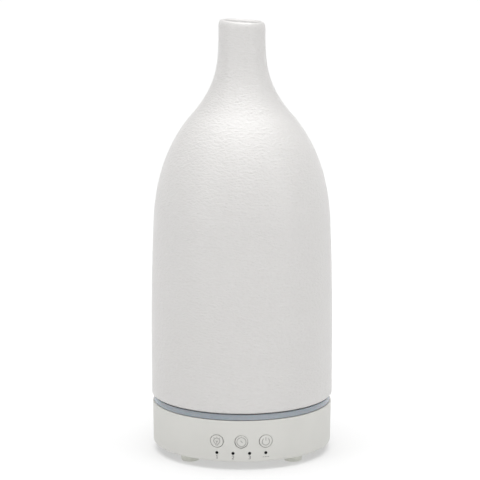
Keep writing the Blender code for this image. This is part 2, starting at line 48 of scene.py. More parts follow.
# ------------------------------------------------------------------ camera
CAMERA_AT = (8.9, -1389.3, 389.6)  # mm
CAMERA_TURN = math.radians(0.41)
CAMERA_DOWN = math.radians(11.179)
cam_data = bpy.data.cameras.new("camera")
cam_data.sensor_width = 36.0
cam_data.lens = 2623.6 / 480 * 36.0
cam_data.clip_start, cam_data.clip_end = 0.05, 60
camera = bpy.data.objects.new("camera", cam_data)
camera.location = Vector(CAMERA_AT) * MM
camera.rotation_euler = (math.pi / 2 - CAMERA_DOWN, 0, CAMERA_TURN)
scene.collection.objects.link(camera)
scene.camera = camera

# ------------------------------------------------------------------ dimensions, mm (those of the CAD frame)
BASE_Z0, BASE_Z1, PLATE_Z0, BASE_R0, BASE_R1, BASE_WALL, BASE_EDGE = 4.4, 27.0, 4.6, 48.2, 48.5, 2.6, 1.3
RING_Z0, RING_Z1, RING_R = 27.3, 30.3, 47.9
COVER_Z0, COVER_R, COVER_H = 31.0, 49.0, 233.8
COVER_WALL, NECK_WALL, NECK_BORE = 5.0, 4.1, 8.4
MOUTH_TILT, MOUTH_LEAN = math.radians(3.5), math.radians(1.6)
COVER_ARCS = (
    ((49.0, 32.4), (49.0, 70.7), (49.1, 92.5), (47.6, 125.8)),
    ((47.6, 125.8), (46.9, 142.9), (43.0, 164.9), (27.2, 183.2)),
    ((27.2, 183.2), (12.5, 200.2), (12.5, 211.9), (12.5, 230.1)),
)
TANK_RIM = 63.5
DUCT_XY = (-27.0, 4.0)
BUTTON_Z, BUTTON_X, BUTTON_R, BUTTON_HOLE_R = 15.65, (-12.95, 0.0, 12.95), 3.35, 3.6
DOT_Z, DOT_X, DOT_HOLE_R = 9.3, (-12.98, -4.40, 4.40, 12.98), 0.85
JACK_Z, JACK_HOLE_R = 14.5, 4.3


def ring_points(radius, degrees):
    return tuple((radius * math.cos(math.radians(a)), radius * math.sin(math.radians(a))) for a in degrees)


BASE_SCREWS = ring_points(41.0, (20, 160, 200, 340))
FEET = ring_points(39.0, (225, 315, 45, 135))
FAN_XY, FAN_SCREWS = (-19.5, 4.0), ((-31.5, -8.0), (-7.5, 16.0))
BOARD_SCREWS = ((1.0, -18.5), (29.5, 20.0))
CLAMP_SCREWS = ring_points(16.6, (30, 150, 270))


def base_radius(z):
    return BASE_R0 + (BASE_R1 - BASE_R0) * (z - BASE_Z0) / (BASE_Z1 - BASE_Z0)


# ------------------------------------------------------------------ material kit
def shader(name):
    mat = bpy.data.materials.new(name)
    mat.use_nodes = True
    tree = mat.node_tree
    return mat, tree, tree.nodes["Principled BSDF"]


def coords(tree, scale=(1, 1, 1)):
    tc = tree.nodes.new("ShaderNodeTexCoord")
    mp = tree.nodes.new("ShaderNodeMapping")
    mp.inputs["Scale"].default_value = scale
    tree.links.new(tc.outputs["Object"], mp.inputs["Vector"])
    return mp.outputs["Vector"]


def noise(tree, vector, scale, detail=3.0, rough=0.55, kind="FBM"):
    n = tree.nodes.new("ShaderNodeTexNoise")
    n.noise_type = kind
    n.inputs["Scale"].default_value = scale
    n.inputs["Detail"].default_value = detail
    n.inputs["Roughness"].default_value = rough
    tree.links.new(vector, n.inputs["Vector"])
    return n.outputs["Fac"]


def voronoi(tree, vector, scale, feature="F1"):
    n = tree.nodes.new("ShaderNodeTexVoronoi")
    n.feature = feature
    n.inputs["Scale"].default_value = scale
    tree.links.new(vector, n.inputs["Vector"])
    return n.outputs["Distance"]


def remap(tree, value, low, high, to_low, to_high):
    n = tree.nodes.new("ShaderNodeMapRange")
    n.inputs["From Min"].default_value = low
    n.inputs["From Max"].default_value = high
    n.inputs["To Min"].default_value = to_low
    n.inputs["To Max"].default_value = to_high
    tree.links.new(value, n.inputs["Value"])
    return n.outputs["Result"]


def mix_colour(tree, factor, a, b):
    n = tree.nodes.new("ShaderNodeMix")
    n.data_type = "RGBA"
    tree.links.new(factor, n.inputs[0])
    for socket, value in ((n.inputs[6], a), (n.inputs[7], b)):
        if isinstance(value, tuple):
            socket.default_value = (*value, 1)
        else:
            tree.links.new(value, socket)
    return n.outputs[2]


def maths(tree, kind, a, b):
    n = tree.nodes.new("ShaderNodeMath")
    n.operation = kind
    for socket, value in zip(n.inputs, (a, b)):
        if isinstance(value, (int, float)):
            socket.default_value = value
        else:
            tree.links.new(value, socket)
    return n.outputs[0]


def bump(tree, bsdf, height, distance, strength=1.0, under=None):
    n = tree.nodes.new("ShaderNodeBump")
    n.inputs["Distance"].default_value = distance
    n.inputs["Strength"].default_value = strength
    tree.links.new(height, n.inputs["Height"])
    if under:
        tree.links.new(under, n.inputs["Normal"])
    tree.links.new(n.outputs["Normal"], bsdf.inputs["Normal"])
    return n.outputs["Normal"]


def ceramic():
    """Satin bisque: warm white, with a fine wrinkled skin a little wider than tall, and very fine grain."""
    mat, tree, bsdf = shader("bisque_ceramic_fine")
    at = coords(tree)
    wide = coords(tree, (0.62, 0.62, 1.25))
    clouds = remap(tree, noise(tree, at, 16, 4), 0.3, 0.7, 0, 1)
    pebble = noise(tree, wide, 820, 3.0, 0.5)
    wrinkle = maths(tree, "ABSOLUTE", maths(tree, "SUBTRACT", noise(tree, wide, 560, 2.0, 0.5), 0.5), 0)
    grain = noise(tree, at, 2600, 2, 0.6)
    tone = mix_colour(tree, clouds, (0.640, 0.629, 0.618), (0.650, 0.639, 0.631))
    tone = mix_colour(tree, remap(tree, pebble, 0.36, 0.62, 0.55, 0), tone, (0.617, 0.607, 0.595))
    tree.links.new(tone, bsdf.inputs["Base Color"])
    tree.links.new(remap(tree, pebble, 0.3, 0.7, 0.30, 0.35), bsdf.inputs["Roughness"])
    bsdf.inputs["Specular IOR Level"].default_value = 0.42
    height = maths(tree, "ADD", pebble, maths(tree, "MULTIPLY", wrinkle, 1.1))
    first = bump(tree, bsdf, height, 0.00034, 0.9)
    bump(tree, bsdf, grain, 0.00004, 0.4, first)
    return mat


def moulded(name, colour, roughness, grain_mm=0.22, depth=0.00003, specular=0.5, variation=0.03, subsurface=0.0):
    """Injection-moulded plastic with a spark-eroded texture: fine grain, faint clouding, worn-smooth patches."""
    mat, tree, bsdf = shader(name)
    at = coords(tree)
    clouds = noise(tree, at, 45, 3)
    grain = noise(tree, at, 1.0 / (grain_mm * MM), 3, 0.6)
    dark = tuple(c * (1 - variation) for c in colour)
    tone = mix_colour(tree, remap(tree, clouds, 0.35, 0.65, 0, 1), dark, colour)
    tone = mix_colour(tree, remap(tree, grain, 0.25, 0.45, 0.3, 0), tone, tuple(c * (1 - 2.5 * variation) for c in colour))
    tree.links.new(tone, bsdf.inputs["Base Color"])
    tree.links.new(remap(tree, noise(tree, at, 160, 3), 0.3, 0.7, roughness - 0.05, roughness + 0.06), bsdf.inputs["Roughness"])
    bsdf.inputs["Specular IOR Level"].default_value = specular
    if subsurface:
        bsdf.inputs["Subsurface Weight"].default_value = subsurface
        bsdf.inputs["Subsurface Scale"].default_value = 0.003
        bsdf.inputs["Subsurface Radius"].default_value = (1.0, 0.95, 0.9)
    bump(tree, bsdf, grain, depth, 0.6)
    return mat


def metal(name, colour, roughness, brushed=(1, 1, 1), scale=900):
    """Plated or extruded metal with fine lines along one direction and faint tarnish."""
    mat, tree, bsdf = shader(name)
    lines = noise(tree, coords(tree, brushed), scale, 3, 0.6)
    stain = noise(tree, coords(tree), 120, 3)
    tone = mix_colour(tree, remap(tree, stain, 0.35, 0.65, 0, 1), tuple(c * 0.86 for c in colour), colour)
    tree.links.new(tone, bsdf.inputs["Base Color"])
    bsdf.inputs["Metallic"].default_value = 1.0
    tree.links.new(remap(tree, lines, 0.3, 0.7, roughness - 0.06, roughness + 0.08), bsdf.inputs["Roughness"])
    bump(tree, bsdf, lines, 0.00001, 0.4)
    return mat


def circuit_board():
    """Green solder mask over copper tracks, with bare pads."""
    mat, tree, bsdf = shader("circuit_board_fine")
    at = coords(tree)
    tracks = tree.nodes.new("ShaderNodeTexBrick")
    tracks.inputs["Scale"].default_value = 420
    tracks.inputs["Mortar Size"].default_value = 0.06
    tracks.inputs["Color1"].default_value = (0, 0, 0, 1)
    tracks.inputs["Color2"].default_value = (0.35, 0.35, 0.35, 1)
    tracks.inputs["Mortar"].default_value = (1, 1, 1, 1)
    tree.links.new(at, tracks.inputs["Vector"])
    pads = remap(tree, voronoi(tree, at, 260), 0.10, 0.13, 1, 0)
    tone = mix_colour(tree, tracks.outputs["Color"], (0.012, 0.13, 0.055), (0.03, 0.24, 0.10))
    tone = mix_colour(tree, pads, tone, (0.62, 0.58, 0.42))
    tree.links.new(tone, bsdf.inputs["Base Color"])
    tree.links.new(remap(tree, noise(tree, at, 700, 2), 0.3, 0.7, 0.28, 0.42), bsdf.inputs["Roughness"])
    bump(tree, bsdf, tracks.outputs["Fac"], 0.00003, 0.6)
    return mat


def light_ring_plastic():
    """Silver-tinted translucent plastic, satin, faintly blue."""
    mat, tree, bsdf = shader("light_ring_fine")
    at = coords(tree)
    flow = noise(tree, coords(tree, (1, 1, 0.2)), 60, 3)
    flake = noise(tree, at, 4200, 2, 0.7)
    tone = mix_colour(tree, remap(tree, flow, 0.3, 0.7, 0, 1), (0.290, 0.325, 0.362), (0.335, 0.370, 0.408))
    tone = mix_colour(tree, remap(tree, flake, 0.55, 0.75, 0, 0.35), tone, (0.43, 0.46, 0.50))
    tree.links.new(tone, bsdf.inputs["Base Color"])
    tree.links.new(remap(tree, flake, 0.3, 0.7, 0.20, 0.30), bsdf.inputs["Roughness"])
    bsdf.inputs["Subsurface Weight"].default_value = 0.15
    bsdf.inputs["Subsurface Scale"].default_value = 0.002
    bump(tree, bsdf, flow, 0.00003, 0.4)
    return mat


CERAMIC = ceramic()
ABS = moulded("abs_white_fine", (0.642, 0.638, 0.608), 0.50)
ABS_BUTTON = moulded("abs_button_fine", (0.655, 0.651, 0.622), 0.45, grain_mm=0.15)
ICON = moulded("icon_grey", (0.33, 0.325, 0.31), 0.6, grain_mm=0.1)
LABEL = moulded("label_ink", (0.25, 0.25, 0.245), 0.7, grain_mm=0.08, variation=0.08)
RING = light_ring_plastic()
PP = moulded("pp_natural_fine", (0.80, 0.80, 0.785), 0.34, grain_mm=0.5, depth=0.00002, subsurface=0.35)
BLACK_WINDOW = moulded("smoked_window_fine", (0.004, 0.004, 0.0045), 0.5, grain_mm=0.1, specular=0.12)
RUBBER = moulded("foot_rubber_fine", (0.72, 0.725, 0.67), 0.75, grain_mm=0.3, depth=0.00005, specular=0.3)
SILICONE = moulded("silicone_fine", (0.74, 0.75, 0.75), 0.42, grain_mm=0.6, subsurface=0.4)
STEEL = metal("zinc_steel_fine", (0.66, 0.66, 0.64), 0.30, (1, 1, 6))
SILVERED = metal("silvered_electrode_fine", (0.78, 0.76, 0.70), 0.32, (5, 1, 1))
ALUMINIUM = metal("aluminium_fine", (0.75, 0.76, 0.77), 0.34, (1, 8, 1))
BOARD = circuit_board()
BLACK = moulded("black_plastic_fine", (0.022, 0.022, 0.023), 0.42, variation=0.12)
FERRITE = moulded("ferrite_fine", (0.06, 0.058, 0.055), 0.62, grain_mm=0.12, depth=0.00006, variation=0.15)
COPPER = metal("copper_winding_fine", (0.72, 0.35, 0.16), 0.3, (1, 1, 14), 600)
SLEEVE = moulded("capacitor_sleeve_fine", (0.03, 0.055, 0.20), 0.3, grain_mm=0.8, variation=0.08)
NYLON = moulded("nylon_fine", (0.74, 0.72, 0.65), 0.48, variation=0.05, subsurface=0.15)
WIRE_RED = moulded("wire_red_fine", (0.50, 0.022, 0.02), 0.4, grain_mm=0.3, variation=0.08)
WIRE_BLACK = moulded("wire_black_fine", (0.02, 0.02, 0.02), 0.4, grain_mm=0.3, variation=0.15)
WIRE_GREY = moulded("wire_grey_fine", (0.33, 0.33, 0.34), 0.45, grain_mm=0.3, variation=0.06)


# ------------------------------------------------------------------ modelling kit (lengths in mm)
def finish_mesh(name, bm, mat, sharp=32):
    bmesh.ops.remove_doubles(bm, verts=bm.verts, dist=1e-5)
    bmesh.ops.recalc_face_normals(bm, faces=bm.faces)
    bmesh.ops.scale(bm, vec=(MM, MM, MM), verts=bm.verts)
    mesh = bpy.data.meshes.new(name)
    bm.to_mesh(mesh)
    bm.free()
    obj = bpy.data.objects.new(name, mesh)
    scene.collection.objects.link(obj)
    if mat:
        mesh.materials.append(mat)
    mesh.shade_smooth()
    mesh.set_sharp_from_angle(angle=math.radians(sharp))
    return obj


def fillet(corners, radius=0.3, steps=4):
    """Rounds the corners of a closed outline of (r, z) or (r, z, radius) points. Points on the axis stay sharp."""
    n = len(corners)
    made = []
    for i, corner in enumerate(corners):
        p = Vector(corner[:2])
        want = corner[2] if len(corner) > 2 else radius
        a, b = Vector(corners[i - 1][:2]) - p, Vector(corners[(i + 1) % n][:2]) - p
        if want <= 0 or abs(p.x) < 1e-6 or a.length < 1e-6 or b.length < 1e-6:
            made.append((p.x, p.y))
            continue
        angle = a.angle(b)
        if angle > math.radians(176):
            made.append((p.x, p.y))
            continue
        reach = min(want / math.tan(angle / 2), 0.46 * a.length, 0.46 * b.length)
        start, end = p + a.normalized() * reach, p + b.normalized() * reach
        for k in range(steps + 1):
            t = k / steps
            q = start * (1 - t) ** 2 + p * 2 * t * (1 - t) + end * t * t
            made.append((q.x, q.y))
    return made


def lathe_into(bm, outline, segments, centre=(0, 0)):
    rings = []
    for r, z in outline:
        if abs(r) < 1e-6:
            rings.append([bm.verts.new((centre[0], centre[1], z))])
        else:
            rings.append(
                [
                    bm.verts.new(
                        (
                            centre[0] + r * math.cos(2 * math.pi * k / segments),
                            centre[1] + r * math.sin(2 * math.pi * k / segments),
                            z,
                        )
                    )
                    for k in range(segments)
                ]
            )
    for i in range(len(rings)):
        a, b = rings[i], rings[(i + 1) % len(rings)]
        if len(a) == 1 and len(b) == 1:
            continue
        for k in range(segments):
            m = (k + 1) % segments
            if len(a) == 1:
                bm.faces.new((a[0], b[k], b[m]))
            elif len(b) == 1:
                bm.faces.new((a[k], b[0], a[m]))
            else:
                bm.faces.new((a[k], b[k], b[m], a[m]))


def lathe(name, outline, mat, segments=160, centre=(0, 0), sharp=32):
    bm = bmesh.new()
    lathe_into(bm, outline, segments, centre)
    return finish_mesh(name, bm, mat, sharp)


def turn_about(bm, verts, start, end):
    """Moves verts that were modelled about +Z from the origin so that +Z runs from start to end."""
    a, b = Vector(start), Vector(end)
    turn = (b - a).to_track_quat("Z", "Y").to_matrix().to_4x4()
    bmesh.ops.transform(bm, matrix=Matrix.Translation(a) @ turn, verts=verts)


def spun_rod_into(bm, start, end, outline, segments=48):
    """A turned solid along any line: outline is (r, distance along the line)."""
    part = bmesh.new()
    lathe_into(part, outline, segments)
    turn_about(part, part.verts, start, end)
    mesh = bpy.data.meshes.new("part")
    part.to_mesh(mesh)
    part.free()
    bm.from_mesh(mesh)
    bpy.data.meshes.remove(mesh)


def rod_outline(radius, length, edge=0.0):
    if edge <= 0:
        return [(0, 0), (radius, 0), (radius, length), (0, length)]
    return fillet([(0, 0), (radius, 0, edge), (radius, length, edge), (0, length)], edge, 3)


def rods(items, segments=48, edge=0.0):
    bm = bmesh.new()
    for start, end, radius in items:
        length = (Vector(end) - Vector(start)).length
        spun_rod_into(bm, start, end, rod_outline(radius, length, edge), segments)
    return bm


def box_into(bm, low, high, edge=0.0, turn=0.0, segments=2):
    low, high = Vector(low), Vector(high)
    part = bmesh.new()
    size = high - low
    bmesh.ops.create_cube(part, size=1, matrix=Matrix.Diagonal((size.x, size.y, size.z, 1)))
    if edge:
        bmesh.ops.bevel(part, geom=part.edges[:], offset=edge, segments=segments, affect="EDGES", profile=0.5)
    place = Matrix.Translation((low + high) / 2) @ Matrix.Rotation(math.radians(turn), 4, "Z")
    bmesh.ops.transform(part, matrix=place, verts=part.verts)
    mesh = bpy.data.meshes.new("part")
    part.to_mesh(mesh)
    part.free()
    bm.from_mesh(mesh)
    bpy.data.meshes.remove(mesh)


def slot_into(bm, centre, length, width, z0, z1, turn=0.0, steps=12):
    """An upright prism with a stadium outline."""
    half = length / 2 - width / 2
    outline = []
    for k in range(steps + 1):
        a = -math.pi / 2 + math.pi * k / steps
        outline.append((half + width / 2 * math.cos(a), width / 2 * math.sin(a)))
    for k in range(steps + 1):
        a = math.pi / 2 + math.pi * k / steps
        outline.append((-half + width / 2 * math.cos(a), width / 2 * math.sin(a)))
    c, s = math.cos(math.radians(turn)), math.sin(math.radians(turn))
    low = [bm.verts.new((centre[0] + x * c - y * s, centre[1] + x * s + y * c, z0)) for x, y in outline]
    high = [bm.verts.new((v.co.x, v.co.y, z1)) for v in low]
    n = len(low)
    bm.faces.new(low[::-1])
    bm.faces.new(high)
    for k in range(n):
        m = (k + 1) % n
        bm.faces.new((low[k], low[m], high[m], high[k]))


def boolean(obj, bm, operation="DIFFERENCE", sharp=32):
    """Cuts or joins a helper and keeps only the result."""
    helper = finish_mesh("helper", bm, None)
    modifier = obj.modifiers.new("boolean", "BOOLEAN")
    modifier.operation = operation
    modifier.object = helper
    modifier.solver = "EXACT"
    bpy.context.view_layer.update()
    evaluated = obj.evaluated_get(bpy.context.evaluated_depsgraph_get())
    mesh = bpy.data.meshes.new_from_object(evaluated)
    obj.modifiers.remove(modifier)
    old, obj.data = obj.data, mesh
    bpy.data.meshes.remove(old)
    old = helper.data
    bpy.data.objects.remove(helper, do_unlink=True)
    bpy.data.meshes.remove(old)
    mesh.shade_smooth()
    mesh.set_sharp_from_angle(angle=math.radians(sharp))
    return obj


def join_into(obj, bm):
    """Adds closed solids to a piece without a Boolean, for strokes that sit in its surface."""
    whole = bmesh.new()
    whole.from_mesh(obj.data)
    mesh = bpy.data.meshes.new("part")
    bmesh.ops.recalc_face_normals(bm, faces=bm.faces)
    bmesh.ops.scale(bm, vec=(MM, MM, MM), verts=bm.verts)
    bm.to_mesh(mesh)
    bm.free()
    whole.from_mesh(mesh)
    whole.to_mesh(obj.data)
    whole.free()
    bpy.data.meshes.remove(mesh)


def place(obj, body, slot, *nodes):
    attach(obj, body)
    if nodes:
        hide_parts(*nodes)
    return obj


def bezier(points, steps):
    p = [Vector(q) for q in points]
    return [
        p[0] * (1 - t) ** 3 + p[1] * 3 * t * (1 - t) ** 2 + p[2] * 3 * t * t * (1 - t) + p[3] * t**3
        for t in (i / steps for i in range(1, steps + 1))
    ]


# ------------------------------------------------------------------ ceramic cover
def cover_outline():
    """Outer side from the foot up, over the lip, and down the inside, with rounded foot and lip."""
    foot = bezier(((47.9, 31.0), (48.6, 31.0), (49.0, 31.35), (49.0, 32.1)), 8)
    outer = [Vector((47.9, 31.0))] + foot
    first = bezier(((49.0, 32.1),) + COVER_ARCS[0][1:], 44)
    outer += first + bezier(COVER_ARCS[1], 44) + bezier(COVER_ARCS[2], 44)
    side = outer[9:]
    lip_out = bezier(((12.5, 230.1), (12.5, 232.3), (11.9, COVER_H), (10.6, COVER_H)), 12)
    lip_in = bezier(((10.6, COVER_H), (9.4, COVER_H), (8.5, 232.2), (8.4, 229.8)), 12)
    inside = []
    for i in range(0, len(side) - 1, 2):
        point = side[i]
        if point.y < 40:
            continue
        along = (side[i + 1] - side[max(i - 1, 0)]).normalized()
        inwards = Vector((-along.y, along.x))
        share = min(1.0, max(0.0, (point.y - 120.0) / 80.0))
        spot = point + inwards * (COVER_WALL + (NECK_WALL - COVER_WALL) * share)
        if spot.y < 229.4:
            inside.append(Vector((max(spot.x, NECK_BORE), spot.y)))
    foot_in = [Vector((44.0, 33.0)), Vector((44.05, 32.0)), Vector((44.3, 31.35)), Vector((44.9, 31.02))]
    return [(p.x, p.y) for p in outer + lip_out + lip_in + inside[::-1] + foot_in]


bm = bmesh.new()
lathe_into(bm, cover_outline(), 224)
for v in bm.verts:
    share = min(1.0, max(0.0, (v.co.z - 212.0) / (COVER_H - 212.0)))
    drop = math.tan(MOUTH_TILT) * v.co.x + math.tan(MOUTH_LEAN) * v.co.y
    v.co.z -= drop * share * share * (3 - 2 * share)
cover = finish_mesh("cover_shell", bm, CERAMIC, 60)
place(cover, "cover", "bisque_ceramic", "ceramic_cover")

# ------------------------------------------------------------------ tank lid and splash guard
lid = lathe(
    "tank_lid_fine",
    fillet(
        [
            (9.5, 91.0, 0.5),
            (11.0, 91.0, 0.5),
            (11.0, 76.6, 2.2),
            (13.9, 73.6, 3.0),
            (20.0, 71.3, 0.3),
            (20.4, 71.75, 0.2),
            (21.4, 71.4, 0.2),
            (21.6, 70.8, 0.3),
            (36.2, 65.75, 1.2),
            (40.3, 65.4, 0.4),
            (40.5, 63.8, 0.2),
            (38.1, 63.8, 0.2),
            (38.1, 60.5, 0.4),
            (36.6, 60.5, 0.4),
            (36.6, 63.6, 0.8),
            (12.5, 72.2, 2.0),
            (9.5, 75.8, 2.0),
        ],
        0.3,
        5,
    ),
    PP,
    192,
    sharp=40,
)
bm = bmesh.new()
for a in (0, 180):  # finger tabs
    c, s = math.cos(math.radians(a)), math.sin(math.radians(a))
    box_into(bm, (33.4 * c - 3.4, 33.4 * s - 5.5, 65.6), (33.4 * c + 3.4, 33.4 * s + 5.5, 69.6), 0.9, a, 3)
boolean(lid, bm, "UNION", 40)
place(lid, "lid", "pp_white", "tank_lid")

guard = lathe(
    "splash_guard_fine",
    fillet([(0, 64.2), (4, 64.3, 1), (13.5, 65.3, 0.3), (13.5, 66.4, 0.3), (4, 65.9, 1), (0, 65.8)], 0.3, 4),
    PP,
    96,
    sharp=40,
)
boolean(
    guard,
    rods([((x, y, 65.2), (x, y, 71.2), 1.0) for x, y in ring_points(12.4, (90, 210, 330))], 24, 0.25),
    "UNION",
)
place(guard, "lid", "pp_white", "splash_guard")

# ------------------------------------------------------------------ water tank
tank = lathe(
    "water_tank_fine",
    fillet(
        [
            (8.5, 29.2, 0.1),
            (8.5, 31.0, 0.6),
            (11.0, 32.5, 1.2),
            (35.5, 34.5, 3.0),
            (38.5, 37.5, 3.0),
            (38.5, 55.2, 0.1),
            (38.15, 55.35, 0.1),
            (38.15, 55.85, 0.1),
            (38.5, 56.0, 0.1),
            (38.5, 63.5, 0.5),
            (40.5, 63.5, 0.5),
            (40.5, 30.7, 0.9),
            (45.6, 30.7, 0.5),
            (45.6, 28.9, 0.3),
            (44.4, 28.9, 0.1),
            (44.4, 29.9, 0.1),
            (42.4, 29.9, 0.1),
            (42.4, 28.9, 0.1),
            (41.1, 28.9, 0.1),
            (41.1, 25.5, 0.2),
            (39.3, 25.5, 0.2),
            (39.3, 31.5, 0.4),
            (35.0, 32.3, 0.8),
            (14.0, 30.3, 0.4),
            (14.0, 26.0, 0.2),
            (11.8, 26.0, 0.2),
            (11.8, 29.2, 0.1),
        ],
        0.2,
        4,
    ),
    PP,
    192,
)
bm = rods([((*DUCT_XY, 17.0), (*DUCT_XY, 61.6), 7.5)], 72, 0.5)
for x, y in CLAMP_SCREWS:
    spun_rod_into(bm, (x, y, 26.0), (x, y, 31.6), rod_outline(3.0, 5.6, 0.0), 32)
boolean(tank, bm, "UNION")
bm = rods([((*DUCT_XY, 15.0), (*DUCT_XY, 64.0), 6.0)], 72)
for x, y in CLAMP_SCREWS:
    spun_rod_into(bm, (x, y, 24.0), (x, y, 30.2), rod_outline(1.4, 6.2), 24)
boolean(tank, bm)
place(tank, "root", "pp_white", "water_tank")

# ------------------------------------------------------------------ light ring and seal
ring = lathe(
    "light_ring_fine",
    fillet(
        [
            (41.5, 27.3, 0.1),
            (RING_R, 27.3, 0.22),
            (RING_R, RING_Z1, 0.35),
            (RING_R - 0.9, RING_Z1, 0.15),
            (RING_R - 0.9, 28.6, 0.1),
            (41.5, 28.6, 0.1),
        ],
        0.2,
        5,
    ),
    RING,
    256,
    sharp=50,
)
place(ring, "root", "ring_silver", "light_ring")
seal = lathe(
    "tank_seal_fine",
    fillet([(42.8, 28.9, 0.3), (44.0, 28.9, 0.3), (44.0, 29.6, 0.3), (42.8, 29.6, 0.3)], 0.3, 4),
    SILICONE,
    160,
)
place(seal, "root", "silicone_clear", "tank_seal")

# ------------------------------------------------------------------ base housing
housing = lathe(
    "base_shell",
    fillet(
        [
            (BASE_R0, BASE_Z0, BASE_EDGE),
            (BASE_R1, BASE_Z1, 0.75),
            (45.0, BASE_Z1, 0.3),
            (45.0, 25.2, 0.2),
            (BASE_R1 - BASE_WALL, 25.2, 0.1),
            (BASE_R0 - BASE_WALL, BASE_Z0, 0.2),
        ],
        0.3,
        8,
    ),
    ABS,
    288,
)
boolean(housing, rods([((x, y, 7.1), (x, y, 24.0), 3.0) for x, y in BASE_SCREWS], 40), "UNION")
bm = bmesh.new()
for x, y in BASE_SCREWS:
    a = math.atan2(y, x)
    box_into(
        bm,
        (44.6 * math.cos(a) - 2.0, 44.6 * math.sin(a) - 1.0, 7.6),
        (44.6 * math.cos(a) + 2.0, 44.6 * math.sin(a) + 1.0, 23.5),
        0,
        math.degrees(a),
    )
boolean(housing, bm, "UNION")
bm = rods([((x, y, 5.0), (x, y, 16.5), 1.5) for x, y in BASE_SCREWS], 32)
for x in BUTTON_X:
    spun_rod_into(bm, (x, -52, BUTTON_Z), (x, -40.5, BUTTON_Z), rod_outline(BUTTON_HOLE_R, 11.5), 72)
for x in DOT_X:
    spun_rod_into(bm, (x, -52, DOT_Z), (x, -40.5, DOT_Z), rod_outline(DOT_HOLE_R, 11.5), 36)
spun_rod_into(bm, (0, 43.0, JACK_Z), (0, 52.0, JACK_Z), rod_outline(JACK_HOLE_R, 9.0), 72)
boolean(housing, bm)
place(housing, "root", "abs_white", "base_housing")


# ------------------------------------------------------------------ strokes for button symbols and labels
def on_front(x, z, lift):
    """A point on the base's front at x and z, lifted out of the surface along -Y."""
    return Vector((x, -math.sqrt(base_radius(z) ** 2 - x * x) - lift, z))


def stroke_into(bm, points, width, at, low, high, closed=False, crown=0.35, step=0.12):
    """A raised rib along 2-D points about at (x, z): its section is a low crown, from low under the surface to high above it."""
    pts = [Vector(p) for p in points]
    if closed:
        pts.append(pts[0].copy())
    dense = [pts[0]]
    for a, b in zip(pts, pts[1:]):
        count = max(1, int((b - a).length / step))
        dense += [a.lerp(b, (k + 1) / count) for k in range(count)]
    if closed:
        dense.pop()
    n = len(dense)
    section = ((-0.5, low), (-0.5, high * (1 - crown)), (-0.28, high), (0.28, high), (0.5, high * (1 - crown)), (0.5, low))
    rings = []
    for i, p in enumerate(dense):
        before = dense[i - 1] if (i or closed) else p
        after = dense[(i + 1) % n] if (i < n - 1 or closed) else p
        along = (after - before).normalized()
        side = Vector((-along.y, along.x))
        rings.append(
            [bm.verts.new(on_front(at[0] + p.x + side.x * s * width, at[1] + p.y + side.y * s * width, h)) for s, h in section]
        )
    m = len(section)
    for i in range(n if closed else n - 1):
        a, b = rings[i], rings[(i + 1) % n]
        for k in range(m):
            j = (k + 1) % m
            bm.faces.new((a[k], a[j], b[j], b[k]))
    if not closed:
        bm.faces.new(rings[0][::-1])
        bm.faces.new(rings[-1])


def arc(centre, radius, start, end, count=40):
    return [
        (
            centre[0] + radius * math.cos(math.radians(start + (end - start) * k / count)),
            centre[1] + radius * math.sin(math.radians(start + (end - start) * k / count)),
        )
        for k in range(count + 1)
    ]


def lamp_symbol():
    glass = arc((0, 0.1), 1.62, -38, 218, 44)
    return [
        (glass + [(-0.62, -1.55), (-0.5, -2.15), (0.5, -2.15), (0.62, -1.55)], True),
        ([(-0.45, 0.25), (0.0, -0.5), (0.45, 0.25)], False),
        ([(0.0, -0.5), (0.0, -1.4)], False),
        ([(0.0, 2.1), (0.0, 2.42)], False),
        ([(-1.45, 1.62), (-1.66, 1.86)], False),
        ([(1.45, 1.62), (1.66, 1.86)], False),
    ]


def timer_symbol():
    return [
        (arc((0, -0.1), 2.42, 102, 438, 80), False),
        ([(-0.3, 2.5), (0.3, 2.5)], False),
        ([(-0.5, 0.62), (0.1, -0.05), (0.55, -0.35)], False),
    ]


def power_symbol():
    return [(arc((0, -0.15), 1.95, 126, 414, 60), False), ([(0.0, 0.35), (0.0, 2.2)], False)]


